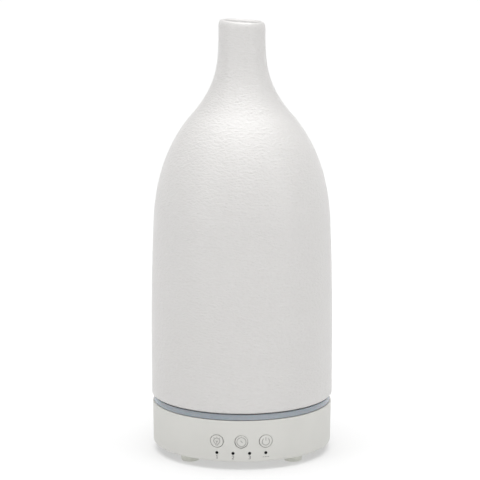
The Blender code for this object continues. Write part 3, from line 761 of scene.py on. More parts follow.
SYMBOLS = {"light": lamp_symbol(), "timer": timer_symbol(), "power": power_symbol()}
BUTTONS = ("light", "timer", "power")
PLAY = ((-0.07, -0.05), (0.07, 0.04), (0.06, -0.03))  # each cap sits a little off the middle of its hole
for kind, x, shift in zip(BUTTONS, BUTTON_X, PLAY):
    side = abs(x) > 1
    back = (-41.8, -41.0) if side else (-44.9, -44.0)
    # cap: rings of points from the centre of the face outwards, over a rounded edge and down the side
    bm = bmesh.new()
    turns = 96
    rows = []
    for r, drop in ((0.7, 0), (1.4, 0), (2.1, 0), (2.7, 0), (3.06, 0.0), (3.22, 0.04), (3.31, 0.12), (3.35, 0.24)):
        rows.append(
            [
                bm.verts.new(
                    on_front(
                        x + shift[0] + r * math.cos(2 * math.pi * k / turns),
                        BUTTON_Z + shift[1] + r * math.sin(2 * math.pi * k / turns),
                        0.0 - drop,
                    )
                )
                for k in range(turns)
            ]
        )
    for y, r in ((back[0], 3.35), (back[0], 4.4), (back[1], 4.4)):
        rows.append(
            [
                bm.verts.new((x + shift[0] + r * math.cos(2 * math.pi * k / turns), y, BUTTON_Z + shift[1] + r * math.sin(2 * math.pi * k / turns)))
                for k in range(turns)
            ]
        )
    centre = bm.verts.new(on_front(x + shift[0], BUTTON_Z + shift[1], 0))
    end = bm.verts.new((x + shift[0], back[1], BUTTON_Z + shift[1]))
    for k in range(turns):
        m = (k + 1) % turns
        bm.faces.new((centre, rows[0][k], rows[0][m]))
        bm.faces.new((end, rows[-1][m], rows[-1][k]))
        for a, b in zip(rows, rows[1:]):
            bm.faces.new((a[k], b[k], b[m], a[m]))
    cap = finish_mesh(f"button_{kind}_fine", bm, ABS_BUTTON, 40)
    if not side:
        boolean(cap, rods([((x, back[1] - 0.4, BUTTON_Z), (x, -41.0, BUTTON_Z), 1.6)], 32), "UNION", 40)
    place(cap, f"{kind}_button", "abs_white", f"button_{kind}")
    bm = bmesh.new()
    for points, closed in SYMBOLS[kind]:
        stroke_into(bm, points, 0.36, (x + shift[0], BUTTON_Z + shift[1]), -0.12, 0.12, closed)
    symbol = finish_mesh(f"button_{kind}_symbol", bm, ICON, 50)
    place(symbol, f"{kind}_button", "abs_white")
    plunger = finish_mesh(
        f"plunger_{kind}_fine", rods([((x, -40.7, BUTTON_Z), (x, -38.9, BUTTON_Z), 1.3)], 32, 0.2), BLACK
    )
    place(plunger, f"{kind}_button", "fan_black", f"plunger_{kind}")
    body = bmesh.new()
    box_into(body, (x - 3, -39.8, BUTTON_Z - 3), (x + 3, -36.6, BUTTON_Z + 3), 0.25)
    body = finish_mesh(f"switch_{kind}_fine", body, STEEL)
    boolean(body, rods([((x, -41.0, BUTTON_Z), (x, -38.0, BUTTON_Z), 1.65)], 40))
    place(body, "root", "zinc_steel", f"switch_{kind}")

# ------------------------------------------------------------------ indicator window: four black light pins in one bar
bm = bmesh.new()
box_into(bm, (-16.3, -41.5, 7.9), (16.3, -40.4, 10.7), 0.25)
window = finish_mesh("indicator_window_fine", bm, BLACK_WINDOW)
bm = bmesh.new()
for x in DOT_X:
    face = math.sqrt(base_radius(DOT_Z) ** 2 - x * x)
    length = face - 0.06 - 41.2
    spun_rod_into(
        bm,
        (x, -41.2, DOT_Z),
        (x, -face, DOT_Z),
        [(0, 0), (0.83, 0), (0.83, length - 0.16), (0.74, length - 0.05), (0.45, length), (0, length)],
        32,
    )
boolean(window, bm, "UNION")
place(window, "root", "smoked_black", "indicator_window")

# ------------------------------------------------------------------ numerals 1, 2, 3 and an interval mark under the dots
NUMERALS = {
    "1": [[(-0.20, 0.26), (0.06, 0.5), (0.06, -0.5)], [(-0.16, -0.5), (0.28, -0.5)]],
    "2": [[(-0.28, 0.30), (-0.20, 0.44), (0.0, 0.5), (0.20, 0.44), (0.28, 0.26), (0.20, 0.04), (-0.29, -0.5), (0.31, -0.5)]],
    "3": [
        [(-0.28, 0.38), (-0.12, 0.49), (0.10, 0.48), (0.26, 0.34), (0.24, 0.14), (0.08, 0.03), (-0.08, 0.02)],
        [(-0.08, 0.02), (0.12, 0.0), (0.28, -0.14), (0.28, -0.34), (0.12, -0.48), (-0.12, -0.49), (-0.29, -0.37)],
    ],
    "interval": [[(-0.95, 0.0), (-0.5, 0.0)], [(-0.22, 0.0), (0.22, 0.0)], [(0.5, 0.0), (0.95, 0.0)]],
}
LABEL_Z, LABEL_H = 7.1, 1.7
bm = bmesh.new()
for text, x in zip(("1", "2", "3", "interval"), DOT_X):
    for points in NUMERALS[text]:
        moved = [(px * LABEL_H, py * LABEL_H) for px, py in points]
        stroke_into(bm, moved, 0.34, (x, LABEL_Z), -0.04, 0.015, False, 0.2)
labels = finish_mesh("hour_labels", bm, LABEL, 50)
place(labels, "root", "abs_white")

# ------------------------------------------------------------------ bottom cover, feet
plate = lathe(
    "bottom_cover_fine",
    fillet(
        [
            (0, PLATE_Z0),
            (44.6, PLATE_Z0, 0.3),
            (45.0, 5.0, 0.1),
            (45.0, 6.8, 0.2),
            (0, 6.8),
        ],
        0.2,
        3,
    ),
    ABS,
    192,
)
bm = bmesh.new()
for x, y in BOARD_SCREWS:
    spun_rod_into(bm, (x, y, 6.0), (x, y, 10.1), rod_outline(2.6, 4.1, 0.2), 32)
for x, y in FAN_SCREWS:
    spun_rod_into(bm, (x, y, 6.0), (x, y, 9.2), rod_outline(2.4, 3.2, 0.2), 32)
boolean(plate, bm, "UNION")
bm = bmesh.new()
for x, y in BOARD_SCREWS + FAN_SCREWS:
    spun_rod_into(bm, (x, y, 7.4), (x, y, 12.0), rod_outline(1.3, 4.6), 24)
for x, y in FEET:
    spun_rod_into(bm, (x, y, 3.0), (x, y, 6.2), rod_outline(2.1, 3.2), 32)
for x, y in BASE_SCREWS:
    spun_rod_into(bm, (x, y, 3.0), (x, y, 5.6), rod_outline(2.8, 2.6), 40)
for i in range(5):
    y = FAN_XY[1] + 4.6 * (i - 2)
    half = (11.0, 12.0, 12.5, 12.0, 8.5)[i]
    shift = -2.5 if i == 4 else (1.5 if i == 0 else 0)
    slot_into(bm, (FAN_XY[0] + shift, y), half * 2, 2.5, 3.0, 8.0)
boolean(plate, bm)
boolean(plate, rods([((x, y, 5.0), (x, y, 8.0), 1.6) for x, y in BASE_SCREWS], 32))
place(plate, "root", "abs_white", "bottom_cover")

for number, (x, y) in enumerate(FEET, 1):
    foot = lathe(
        f"foot_{number}_fine",
        fillet(
            [
                (0, 0),
                (3.4, 0.0, 0.2),
                (4.72, 0.12, 1.1),
                (5.0, 4.3, 0.2),
                (1.8, 4.3, 0.1),
                (1.8, 5.8, 0.3),
                (0, 5.8),
            ],
            0.2,
            6,
        ),
        RUBBER,
        64,
        (x, y),
        40,
    )
    place(foot, "root", "foot_rubber", f"foot_{number}")

# ------------------------------------------------------------------ inside: screws
def cross_into(bm, width, length, z0, z1):
    """A plus-shaped prism, for the recess in a screw head."""
    w, n = width / 2, length / 2
    outline = ((w, w), (w, n), (-w, n), (-w, w), (-n, w), (-n, -w), (-w, -w), (-w, -n), (w, -n), (w, -w), (n, -w), (n, w))
    low = [bm.verts.new((x, y, z0)) for x, y in outline]
    high = [bm.verts.new((x * 1.25, y * 1.1, z1)) for x, y in outline]
    bm.faces.new(low[::-1])
    bm.faces.new(high)
    for k in range(12):
        m = (k + 1) % 12
        bm.faces.new((low[k], low[m], high[m], high[k]))


def screws(prefix, spots, head, tip, head_r, shank_r, head_h):
    """Pan-head screws with a cross recess and a cut thread, modelled once and set at each spot."""
    up = 1 if head > tip else -1
    length = abs(head - tip)
    outline = [(0, head_h), (head_r * 0.62, head_h, 0.2), (head_r, head_h * 0.42, 0.25), (head_r, 0, 0.08), (shank_r * 0.85, 0, 0.1)]
    outline = fillet(outline + [(shank_r * 0.85, -0.5, 0), (0, -0.5, 0)], 0.1, 4)[:-2]
    z, pitch = -0.6, 0.62
    while z > -(length - 0.9):
        outline += [(shank_r * 0.80, z), (shank_r, z - pitch * 0.42), (shank_r, z - pitch * 0.55)]
        z -= pitch
    outline += [(shank_r * 0.78, z), (shank_r * 0.3, -length), (0, -length)]
    model = lathe(prefix, outline, STEEL, 36, (0, 0), 30)
    bm = bmesh.new()
    cross_into(bm, head_r * 0.26, head_r * 1.15, head_h * 0.42, head_h + 0.4)
    boolean(model, bm, sharp=30)
    for number, (x, y) in enumerate(spots, 1):
        mesh = model.data.copy()
        turn = Matrix.Rotation(math.radians(37 * number + 11), 4, "Z")
        flip = Matrix.Rotation(0 if up > 0 else math.pi, 4, "X")
        mesh.transform(Matrix.Translation((x * MM, y * MM, head * MM)) @ flip @ turn)
        copy = bpy.data.objects.new(f"{prefix}_{number}_fine", mesh)
        scene.collection.objects.link(copy)
        place(copy, "root", "zinc_steel", f"{prefix}_{number}")
    old = model.data
    bpy.data.objects.remove(model, do_unlink=True)
    bpy.data.meshes.remove(old)


GAP = 0.3
TOP = 12.3  # underside of the parts on the main board
FAN_Z0, FAN_Z1, FAN_BORE = 9.5, 16.5, 13.3
screws("bottom_screw", BASE_SCREWS, 5.3, 15.5, 2.4, 1.2, 0.65)
screws("board_screw", BOARD_SCREWS, 12.3, 7.9, 2.2, 1.0, 1.3)
screws("fan_screw", FAN_SCREWS, FAN_Z1 + GAP, 7.9, 2.2, 1.0, 1.3)
screws("clamp_screw", CLAMP_SCREWS, 24.1, 29.6, 2.4, 1.1, 1.4)

# ------------------------------------------------------------------ inside: ultrasonic disc, gasket and clamp
disc = lathe(
    "piezo_disc_fine",
    fillet([(0, 26.98), (6.2, 26.98, 0.05), (6.5, 26.9, 0.05), (10.0, 26.9, 0.12), (10.0, 27.7, 0.12), (3.6, 27.7, 0.1), (3.3, 27.62, 0.1), (0, 27.62)], 0.1, 3),
    SILVERED,
    96,
)
place(disc, "root", "electrode_silver", "piezo_disc")
bm = rods([((-3, 2, 25.9), (-3, 2, 27.0), 0.85), ((3, -2, 25.9), (3, -2, 27.0), 0.85)], 24, 0.45)
place(finish_mesh("piezo_solder_joints", bm, SILVERED), "root", "electrode_silver")
gasket = lathe(
    "piezo_gasket_fine",
    fillet([(8.2, 28.9), (11.5, 28.9), (11.5, 25.9), (8.2, 25.9), (8.2, 26.6), (10.3, 26.6), (10.3, 28.0), (8.2, 28.0)], 0.28, 4),
    SILICONE,
    96,
)
place(gasket, "root", "silicone_clear", "piezo_gasket")
clamp = lathe(
    "piezo_clamp_fine",
    fillet([(6.5, 24.4), (19.2, 24.4), (19.2, 25.6), (13.6, 25.6, 0.2), (13.2, 25.35, 0.2), (11.9, 25.35, 0.2), (11.6, 25.6, 0.2), (6.5, 25.6)], 0.25, 4),
    STEEL,
    128,
)
boolean(clamp, rods([((x, y, 23.0), (x, y, 27.0), 1.4) for x, y in CLAMP_SCREWS], 32))
place(clamp, "root", "zinc_steel", "piezo_clamp")

# ------------------------------------------------------------------ inside: fan
fx, fy = FAN_XY
bm = bmesh.new()
bmesh.ops.create_cube(bm, size=1, matrix=Matrix.Translation((fx, fy, 13.0)) @ Matrix.Diagonal((30, 30, 7, 1)))
upright = [e for e in bm.edges if abs(e.verts[0].co.z - e.verts[1].co.z) > 1]
bmesh.ops.bevel(bm, geom=upright, offset=2.5, segments=8, affect="EDGES", profile=0.5)
rims = [e for e in bm.edges if abs(e.verts[0].co.z - e.verts[1].co.z) < 0.1]
bmesh.ops.bevel(bm, geom=rims, offset=0.25, segments=2, affect="EDGES", profile=0.5)
fan_frame = finish_mesh("fan_frame_fine", bm, BLACK)
bm = bmesh.new()
lathe_into(
    bm,
    [(0, 8.0), (FAN_BORE + 0.55, 8.0), (FAN_BORE + 0.55, 9.55), (FAN_BORE + 0.2, 9.75), (FAN_BORE, 10.2), (FAN_BORE, 15.8), (FAN_BORE + 0.2, 16.25), (FAN_BORE + 0.55, 16.45), (FAN_BORE + 0.55, 18.0), (0, 18.0)],
    128,
    FAN_XY,
)
boolean(fan_frame, bm)
boolean(fan_frame, rods([((x, y, 7.0), (x, y, 19.0), 1.4) for x in (fx - 12, fx + 12) for y in (fy - 12, fy + 12)], 28))
bm = bmesh.new()
for a in (0, 120, 240):
    c, s = math.cos(math.radians(a)), math.sin(math.radians(a))
    box_into(bm, (fx + 9.95 * c - 4.15, fy + 9.95 * s - 0.75, FAN_Z0 + 0.1), (fx + 9.95 * c + 4.15, fy + 9.95 * s + 0.75, 10.2), 0.15, a)
boolean(fan_frame, bm, "UNION")
bm = bmesh.new()
lathe_into(bm, fillet([(1.3, FAN_Z0), (6.2, FAN_Z0), (6.2, 10.3), (1.3, 10.3)], 0.2, 3), 96, FAN_XY)
boolean(fan_frame, bm, "UNION")
place(fan_frame, "root", "fan_black", "fan_frame")

rotor = lathe(
    "fan_rotor_fine",
    fillet(
        [(0, 9.6), (1.0, 9.6, 0.1), (1.0, 10.7, 0.1), (6.5, 10.7, 0.15), (6.5, 15.8, 0.75), (5.3, 15.8, 0.1), (5.15, 15.62, 0.1), (0.9, 15.62, 0.1), (0.7, 15.45, 0.1), (0, 15.45)],
        0.2,
        6,
    ),
    BLACK,
    96,
    FAN_XY,
)
bm = bmesh.new()
SPAN, CHORD = 10, 12
for i in range(7):
    a0 = 2 * math.pi * i / 7
    skins = []
    for side_sign in (1, -1):
        skin = []
        for j in range(SPAN + 1):
            u = j / SPAN
            r = 6.35 + (12.7 - 6.35) * u
            lead, trail = -0.34 + 0.08 * u, 0.34 - 0.08 * u
            z_lead, z_trail = 14.6 + 0.35 * u, 11.55 - 0.15 * u
            row = []
            for k in range(CHORD + 1):
                t = k / CHORD
                angle = a0 + lead + (trail - lead) * t + 0.10 * u * u
                belly = 0.42 * math.sin(math.pi * t)
                thick = 0.12 + 0.30 * math.sin(math.pi * min(1, t * 1.05 + 0.08)) ** 0.7
                z = z_lead + (z_trail - z_lead) * t + belly + side_sign * thick
                row.append(bm.verts.new((fx + r * math.cos(angle), fy + r * math.sin(angle), z)))
            skin.append(row)
        skins.append(skin)
    top, under = skins
    for j in range(SPAN):
        for k in range(CHORD):
            bm.faces.new((top[j][k], top[j + 1][k], top[j + 1][k + 1], top[j][k + 1]))
            bm.faces.new((under[j][k], under[j][k + 1], under[j + 1][k + 1], under[j + 1][k]))
    for j in range(SPAN):
        bm.faces.new((top[j][0], under[j][0], under[j + 1][0], top[j + 1][0]))
        bm.faces.new((top[j][CHORD], top[j + 1][CHORD], under[j + 1][CHORD], under[j][CHORD]))
    for k in range(CHORD):
        bm.faces.new((top[0][k], top[0][k + 1], under[0][k + 1], under[0][k]))
        bm.faces.new((top[SPAN][k], under[SPAN][k], under[SPAN][k + 1], top[SPAN][k + 1]))
boolean(rotor, bm, "UNION", 40)
place(rotor, "fan", "fan_black", "fan_rotor")

# ------------------------------------------------------------------ inside: main board and its parts
bm = bmesh.new()
bmesh.ops.create_cube(bm, size=1, matrix=Matrix.Translation((15.25, 1.0, 11.2)) @ Matrix.Diagonal((36.5, 46, 1.6, 1)))
upright = [e for e in bm.edges if abs(e.verts[0].co.z - e.verts[1].co.z) > 1]
bmesh.ops.bevel(bm, geom=upright, offset=1.2, segments=6, affect="EDGES", profile=0.5)
board = finish_mesh("main_board_fine", bm, BOARD)
boolean(board, rods([((x, y, 9.0), (x, y, 14.0), 1.4) for x, y in BOARD_SCREWS], 32))
place(board, "root", "board_green", "main_board")

# soldered joints under the board, where leads and legs come through
LEGS = (
    (7.4, 8.2), (10.6, 12.8), (18.6, 16.0), (21.4, 16.0), (23.4, -10.8), (26.0, -10.8), (28.6, -10.8),
    (0.6, 17.7), (3.4, 17.7), (9.8, -18.0), (11.7, -18.0), (13.5, -18.0), (15.3, -18.0), (17.2, -18.0), (13.0, 3.0), (14.5, -1.0), (12.0, 20.0),
)
bm = bmesh.new()
for x, y in LEGS:
    spun_rod_into(bm, (x, y, 10.5), (x, y, 9.6), fillet([(0, 0), (0.95, 0, 0.05), (0.45, 0.45, 0.4), (0.3, 0.9, 0.15), (0, 0.9)], 0.1, 4), 20)
    spun_rod_into(bm, (x, y, 11.9), (x, y, 12.25), fillet([(0, 0), (0.9, 0, 0.05), (0.5, 0.35, 0.2), (0, 0.35)], 0.1, 3), 20)
for x, y, z0, z1 in ((7.4, 8.2, 12.0, 12.5), (10.6, 12.8, 12.0, 12.5), (18.6, 16.0, 12.0, 12.6), (21.4, 16.0, 12.0, 12.6)):
    spun_rod_into(bm, (x, y, z0), (x, y, z1), rod_outline(0.32, z1 - z0), 16)
for x in (23.4, 26.0, 28.6):
    box_into(bm, (x - 0.4, -11.05, 12.0), (x + 0.4, -10.6, TOP + 2.0), 0.08)
place(finish_mesh("solder_joints", bm, SILVERED), "root", "electrode_silver")
bm = bmesh.new()
for x, y in BOARD_SCREWS:
    lathe_into(bm, [(1.42, 11.98), (2.9, 11.98), (2.9, 12.05), (1.42, 12.05)], 48, (x, y))
place(finish_mesh("board_ground_pads", bm, SILVERED), "root", "electrode_silver")

# small surface-mounted parts: dark bodies with tinned ends
CHIPS = (
    (14.6, -12.4, 0), (17.4, -12.0, 90), (14.6, -8.4, 0), (17.6, -7.4, 90), (14.4, -4.6, 0), (17.6, -3.2, 90), (17.6, 1.0, 90),
    (-0.8, -12.6, 90), (-0.8, -8.8, 90), (-0.8, -5.0, 90), (-0.8, -1.2, 90), (-0.6, 3.4, 0), (1.6, 7.2, 0), (23.4, 4.6, 0),
    (27.0, 4.6, 0), (30.6, 4.6, 0), (23.4, 8.6, 90), (26.6, 8.4, 0), (30.2, 10.8, 90), (6.6, -12.6, 0), (10.4, -12.4, 0), (16.6, 6.4, 90),
)
bodies, ends = bmesh.new(), bmesh.new()
for n, (x, y, turn) in enumerate(CHIPS):
    size = 1.0 if n % 3 else 1.25
    box_into(bodies, (x - 0.72 * size, y - 0.55 * size, 12.04), (x + 0.72 * size, y + 0.55 * size, 12.58), 0.06, turn)
    for sign in (-1, 1):
        c, s = math.cos(math.radians(turn)), math.sin(math.radians(turn))
        ex, ey = x + sign * 0.88 * size * c, y + sign * 0.88 * size * s
        box_into(ends, (ex - 0.2 * size, ey - 0.57 * size, 12.0), (ex + 0.2 * size, ey + 0.57 * size, 12.60), 0.06, turn)
place(finish_mesh("board_chip_bodies", bodies, BLACK), "root", "fan_black")
place(finish_mesh("board_chip_ends", ends, SILVERED), "root", "electrode_silver")

bobbin = lathe(
    "inductor_fine",
    fillet([(0, TOP), (4.5, TOP), (4.5, TOP + 1.2), (3.3, TOP + 1.2), (3.3, TOP + 6.8), (4.5, TOP + 6.8), (4.5, TOP + 8), (0.9, TOP + 8, 0.1), (0.9, TOP + 7.6, 0.1), (0, TOP + 7.6)], 0.3, 4),
    FERRITE,
    64,
    (9, 10.5),
)
place(bobbin, "root", "ferrite", "inductor")
bm = bmesh.new()
z = TOP + 1.25
winding = [(3.2, z)]
while z < TOP + 6.6:
    winding += [(3.85, z + 0.06), (4.08, z + 0.2), (4.08, z + 0.34), (3.85, z + 0.48)]
    z += 0.54
winding.append((3.2, z))
lathe_into(bm, winding, 64, (9, 10.5))
place(finish_mesh("inductor_winding", bm, COPPER, 50), "root", "wire_red")

can = lathe(
    "capacitor_fine",
    fillet(
        [(0, TOP), (3.7, TOP, 0.2), (4.0, TOP + 0.35, 0.2), (4.0, TOP + 1.5, 0.25), (3.72, TOP + 1.85, 0.25), (4.0, TOP + 2.2, 0.25), (4.0, TOP + 9.1, 0.35), (3.1, TOP + 9.1, 0.1), (3.1, TOP + 8.9, 0.05), (0, TOP + 8.9)],
        0.2,
        5,
    ),
    SLEEVE,
    80,
    (20, 16),
)
place(can, "root", "capacitor_sleeve", "capacitor")
lid_top = lathe("capacitor_vent", fillet([(0, TOP + 8.8), (3.05, TOP + 8.8), (3.05, TOP + 9.3, 0.25), (0, TOP + 9.3)], 0.1, 4), ALUMINIUM, 64, (20, 16))
bm = bmesh.new()
cross_into(bm, 0.22, 4.2, 0, 1.0)
bmesh.ops.transform(bm, matrix=Matrix.Translation((20, 16, TOP + 9.12)), verts=bm.verts)
boolean(lid_top, bm)
place(lid_top, "root", "aluminium")

bm = bmesh.new()
box_into(bm, (4.5, -9, TOP), (11.5, -3, TOP + 1.6), 0.18, 0, 3)
chip = finish_mesh("controller_chip_fine", bm, BLACK)
boolean(chip, rods([((5.5, -8.0, TOP + 1.48), (5.5, -8.0, TOP + 2.0), 0.45)], 24))
place(chip, "root", "fan_black", "controller_chip")
bm = bmesh.new()
for i in range(6):
    x = 5.1 + 1.16 * i
    for y0, sign in ((-9.0, -1), (-3.0, 1)):
        for low, high, z0, z1 in ((-0.1, 0.55, TOP + 0.55, TOP + 0.78), (0.42, 0.62, 12.0, TOP + 0.74), (0.45, 1.05, 12.0, 12.2)):
            ys = sorted((y0 + sign * low, y0 + sign * high))
            box_into(bm, (x - 0.2, ys[0], z0), (x + 0.2, ys[1], z1), 0.04)
place(finish_mesh("controller_chip_legs", bm, SILVERED), "root", "electrode_silver")

bm = bmesh.new()
box_into(bm, (21, -12.7, TOP + 1.4), (31, -9.3, TOP + 8.0), 0.35, 0, 3)
package = finish_mesh("transistor_fine", bm, BLACK)
boolean(package, rods([((26, -13.5, TOP + 6.4), (26, -12.4, TOP + 6.4), 0.8)], 32))
place(package, "root", "fan_black", "transistor")
bm = bmesh.new()
box_into(bm, (21.2, -9.35, TOP + 1.4), (30.8, -8.3, TOP + 9.0), 0.15)
place(finish_mesh("transistor_tab", bm, ALUMINIUM), "root", "aluminium")

bm = bmesh.new()
box_into(bm, (20, -8.0, TOP), (32, -6.2, TOP + 10), 0.2)
sink = finish_mesh("heatsink_fine", bm, ALUMINIUM)
bm = bmesh.new()
for i in range(5):
    box_into(bm, (20.02 + 2.7 * i, -6.8, TOP + 0.02), (21.18 + 2.7 * i, 0.5, TOP + 9.8), 0.3, 0, 3)
boolean(sink, bm, "UNION")
place(sink, "root", "aluminium", "heatsink")

for name, low, high, count in (
    ("fan_connector", (-1.5, 15.0, TOP), (5.5, 20.5, TOP + 6), 2),
    ("panel_connector", (8.0, -20.5, TOP), (19.0, -15.5, TOP + 6), 5),
):
    bm = bmesh.new()
    box_into(bm, (low[0], low[1], 12.02), high, 0.2)
    socket = finish_mesh(f"{name}_fine", bm, NYLON)
    bm = bmesh.new()
    box_into(bm, (low[0] + 0.9, low[1] + 0.9, high[2] - 4), (high[0] - 0.9, high[1] - 0.9, high[2] + 1), 0.1)
    boolean(socket, bm)
    middle = (low[0] + high[0]) / 2
    bm = bmesh.new()
    box_into(bm, (middle - 1.3, low[1] - 1, high[2] - 2.4), (middle + 1.3, low[1] + 1.5, high[2] + 1))
    boolean(socket, bm)
    place(socket, "root", "nylon_white", name)
    bm = bmesh.new()
    box_into(bm, (low[0] + 1.05, low[1] + 1.05, high[2] - 2.8), (high[0] - 1.05, high[1] - 1.05, high[2] + 0.9), 0.25)
    plug = finish_mesh(f"{name}_plug", bm, NYLON)
    step = (high[0] - low[0] - 3.0) / max(1, count - 1)
    bm = bmesh.new()
    for i in range(count):
        px = low[0] + 1.5 + step * i
        box_into(bm, (px - 0.25, low[1] + 0.4, high[2] - 1.4), (px + 0.25, low[1] + 1.4, high[2] + 0.5))
    boolean(plug, bm)
    place(plug, "root", "nylon_white")
    bm = bmesh.new()
    for i in range(count):
        px = low[0] + 1.5 + step * i
        box_into(bm, (px - 0.25, (low[1] + high[1]) / 2 - 0.25, high[2] - 4.3), (px + 0.25, (low[1] + high[1]) / 2 + 0.25, high[2] - 2.6), 0.08)
    place(finish_mesh(f"{name}_pins", bm, SILVERED), "root", "electrode_silver")

# ------------------------------------------------------------------ inside: power inlet
bm = bmesh.new()
box_into(bm, (-4.6, 34.5, 9.9), (4.6, 44.5, 19.1), 0.45, 0, 3)
jack = finish_mesh("dc_jack_fine", bm, BLACK)
bm = bmesh.new()
spun_rod_into(bm, (0, 42.0, JACK_Z), (0, 47.8, JACK_Z), fillet([(0, 0), (3.9, 0), (3.9, 5.8, 0.35), (0, 5.8)], 0.1, 4), 96)
boolean(jack, bm, "UNION")
bm = bmesh.new()
spun_rod_into(bm, (0, 38.3, JACK_Z), (0, 49.0, JACK_Z), [(0, 0), (2.9, 0), (2.9, 9.2), (3.15, 9.5), (3.15, 10.7), (0, 10.7)], 96)
boolean(jack, bm)
place(jack, "root", "fan_black", "dc_jack")
bm = bmesh.new()
spun_rod_into(bm, (0, 38.2, JACK_Z), (0, 46.1, JACK_Z), fillet([(0, 0), (1.0, 0), (1.0, 7.9, 0.6), (0, 7.9)], 0.1, 6), 40)
place(finish_mesh("dc_jack_pin_fine", bm, STEEL), "root", "zinc_steel", "dc_jack_pin")
bm = bmesh.new()
box_into(bm, (-2.3, 33.2, 12.0), (-1.0, 34.8, 14.0), 0.1)
box_into(bm, (1.9, 33.2, 12.0), (3.2, 34.8, 14.0), 0.1)
place(finish_mesh("inlet_lugs", bm, SILVERED), "root", "electrode_silver")

# ------------------------------------------------------------------ inside: control board and light board
bm = bmesh.new()
box_into(bm, (-21, -36.3, 8.0), (21, -34.9, 21.0), 0.12)
place(finish_mesh("control_board_fine", bm, BOARD), "root", "board_green", "control_board")
bodies, ends = bmesh.new(), bmesh.new()
for x in DOT_X:
    box_into(bodies, (x - 0.8, -37.1, DOT_Z - 0.6), (x + 0.8, -36.25, DOT_Z + 0.6), 0.12)
for i, x in enumerate((-18, -15.5, -8.5, -4.0, 0.5, 4.5, 12.0, 16.0, 18.6)):
    z = 11.5 + 3.1 * (i % 3)
    box_into(ends, (x - 0.95, -34.95, z - 0.5), (x + 0.95, -34.4, z + 0.5), 0.07)
place(finish_mesh("indicator_lights", bodies, NYLON), "root", "nylon_white")
place(finish_mesh("control_board_parts", ends, BLACK), "root", "fan_black")

leds = lathe("ring_light_board_fine", fillet([(41.4, 24.6), (44.6, 24.6), (44.6, 25.8), (41.4, 25.8)], 0.12, 2), BOARD, 192)
place(leds, "root", "board_green", "ring_light_board")
bodies, domes = bmesh.new(), bmesh.new()
for a in range(10, 370, 60):
    x, y = 43.0 * math.cos(math.radians(a)), 43.0 * math.sin(math.radians(a))
    box_into(bodies, (x - 1.25, y - 1.25, 25.75), (x + 1.25, y + 1.25, 26.6), 0.15, a)
    spun_rod_into(domes, (x, y, 26.4), (x, y, 26.9), fillet([(0, 0), (0.95, 0, 0.05), (0.95, 0.5, 0.4), (0, 0.5)], 0.1, 5), 32)
place(finish_mesh("ring_light_packages", bodies, NYLON), "root", "nylon_white")
place(finish_mesh("ring_light_lenses", domes, SILICONE), "root", "silicone_clear")


# ------------------------------------------------------------------ inside: leads
def lead(name, route, radius, mat, slot, steps=12, sides=20):
    """A round lead through its route, with tinned ends left to the joints they meet."""
    p = [Vector(q) for q in route]
    p = [2 * p[0] - p[1]] + p + [2 * p[-1] - p[-2]]
    line = []
    for i in range(1, len(p) - 2):
        a, b, c, d = p[i - 1 : i + 3]
        for k in range(steps):
            t = k / steps
            line.append(0.5 * (2 * b + (c - a) * t + (2 * a - 5 * b + 4 * c - d) * t * t + (3 * b - a - 3 * c + d) * t**3))
    line.append(p[-2])
    bm = bmesh.new()
    rings = []
    across = None
    for i, q in enumerate(line):
        way = (line[min(i + 1, len(line) - 1)] - line[max(i - 1, 0)]).normalized()
        if across is None:
            across = way.orthogonal().normalized()
        across = (across - way * across.dot(way)).normalized()
        other = way.cross(across)
        rings.append(
            [
                bm.verts.new(q + radius * (across * math.cos(2 * math.pi * k / sides) + other * math.sin(2 * math.pi * k / sides)))
                for k in range(sides)
            ]
        )
    for a, b in zip(rings, rings[1:]):
        for k in range(sides):
            m = (k + 1) % sides
            bm.faces.new((a[k], a[m], b[m], b[k]))
    bm.faces.new(rings[0][::-1])
    bm.faces.new(rings[-1])
    place(finish_mesh(f"{name}_fine", bm, mat, 50), "root", slot, name)


lead("piezo_lead_red", ((-3, 2, 26.0), (-1.5, 2, 23.5), (4, 2, 21), (10, 2.5, 17), (13, 3, 12.2)), 0.5, WIRE_RED, "wire_red")
lead("piezo_lead_black", ((3, -2, 26.0), (4, -2, 23), (8, -1.5, 19), (12.5, -1, 16), (14.5, -1, 12.2)), 0.5, WIRE_BLACK, "wire_black")
lead("fan_lead", ((-9.5, 11.5, 17.7), (-6.5, 12.5, 19.5), (-1, 16.0, 21.0), (1.8, 17.6, 20.0), (2, 17.8, 17.5)), 0.8, WIRE_BLACK, "wire_black")
lead("panel_lead", ((8, -34.0, 16), (9, -30, 19), (10.5, -23, 21), (11.5, -18.6, 20.3), (11.5, -18, 17.0)), 1.0, WIRE_GREY, "wire_grey")
lead("ring_light_lead", ((21.5, -37.2, 23.8), (20.5, -34, 22.2), (18, -26, 21.5), (16.2, -19.0, 20.3), (16, -18, 17.0)), 0.7, WIRE_RED, "wire_red")
lead("inlet_lead", ((0, 34.0, 13), (1.5, 30.5, 12.8), (6, 26.5, 15), (10.5, 21.8, 15.2), (12, 20, 12.2)), 0.9, WIRE_BLACK, "wire_black")

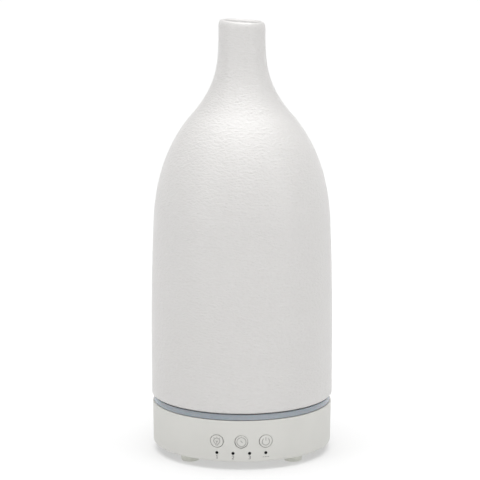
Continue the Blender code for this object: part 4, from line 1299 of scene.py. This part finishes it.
# ------------------------------------------------------------------ carried-over CAD nodes get their fine materials
CARRIED = {
    "zinc_steel": STEEL,
    "electrode_silver": SILVERED,
    "board_green": BOARD,
    "fan_black": BLACK,
    "ferrite": FERRITE,
    "aluminium": ALUMINIUM,
    "capacitor_sleeve": SLEEVE,
    "nylon_white": NYLON,
    "wire_red": WIRE_RED,
    "wire_black": WIRE_BLACK,
    "wire_grey": WIRE_GREY,
    "silicone_clear": SILICONE,
    "smoked_black": BLACK_WINDOW,
    "abs_white": ABS,
    "pp_white": PP,
    "foot_rubber": RUBBER,
    "ring_silver": RING,
    "bisque_ceramic": CERAMIC,
}
for part in frame["record"]["subparts"]:
    node = frame["nodes"][part["node"]]
    for slot in node.material_slots:
        slot.material = CARRIED[part["material_slot"]]

# ------------------------------------------------------------------ stage: plain pale floor, soft studio light
bm = bmesh.new()
bmesh.ops.create_grid(bm, x_segments=1, y_segments=1, size=14000)
floor_mat, tree, bsdf = shader("floor")
bsdf.inputs["Roughness"].default_value = 0.9
bsdf.inputs["Specular IOR Level"].default_value = 0.1
tone = mix_colour(tree, noise(tree, coords(tree), 3, 2), (0.42, 0.42, 0.42), (0.44, 0.44, 0.44))
tree.links.new(tone, bsdf.inputs["Base Color"])
bsdf.inputs["Emission Color"].default_value = (1.0, 1.0, 1.0, 1.0)  # a shooting table of opal sheet, softly lit from below
bsdf.inputs["Emission Strength"].default_value = 0.41
floor = finish_mesh("floor", bm, floor_mat)

world = bpy.data.worlds.new("studio")
scene.world = world
world.use_nodes = True
tree = world.node_tree
sky = tree.nodes["Background"]
sky.inputs["Color"].default_value = (1, 1, 1, 1)
apart = tree.nodes.new("ShaderNodeSeparateXYZ")  # a low pale backdrop all round, with a dim room above it
tree.links.new(tree.nodes.new("ShaderNodeTexCoord").outputs["Generated"], apart.inputs["Vector"])
tree.links.new(remap(tree, apart.outputs["Z"], 0.10, 0.20, 0.97, 0.07), sky.inputs["Strength"])


def aimed(name, kind, at, aim, energy):
    data = bpy.data.lights.new(name, kind)
    data.energy = energy
    obj = bpy.data.objects.new(name, data)
    obj.location = at
    obj.rotation_euler = (Vector(aim) - Vector(at)).to_track_quat("-Z", "Y").to_euler()
    scene.collection.objects.link(obj)
    return data


def softbox(name, at, aim, size, energy):
    data = aimed(name, "AREA", at, aim, energy)
    data.shape = "RECTANGLE"
    data.size, data.size_y = size


overhead = aimed("overhead", "SUN", (0, 0.1, 2.0), (0, 0, 0), 4.1)
overhead.angle = math.radians(70)
softbox("key_above", (0.02, -1.05, 1.08), (0, 0, 0.17), (0.55, 0.34), 2.1)
softbox("side_left", (-0.74, -0.60, 0.53), (0, 0, 0.30), (0.20, 1.0), 1.75)
softbox("side_right", (0.76, -0.57, 0.53), (0, 0, 0.30), (0.20, 1.0), 1.8)

scene.view_settings.view_transform = "Standard"
scene.view_settings.look = "None"
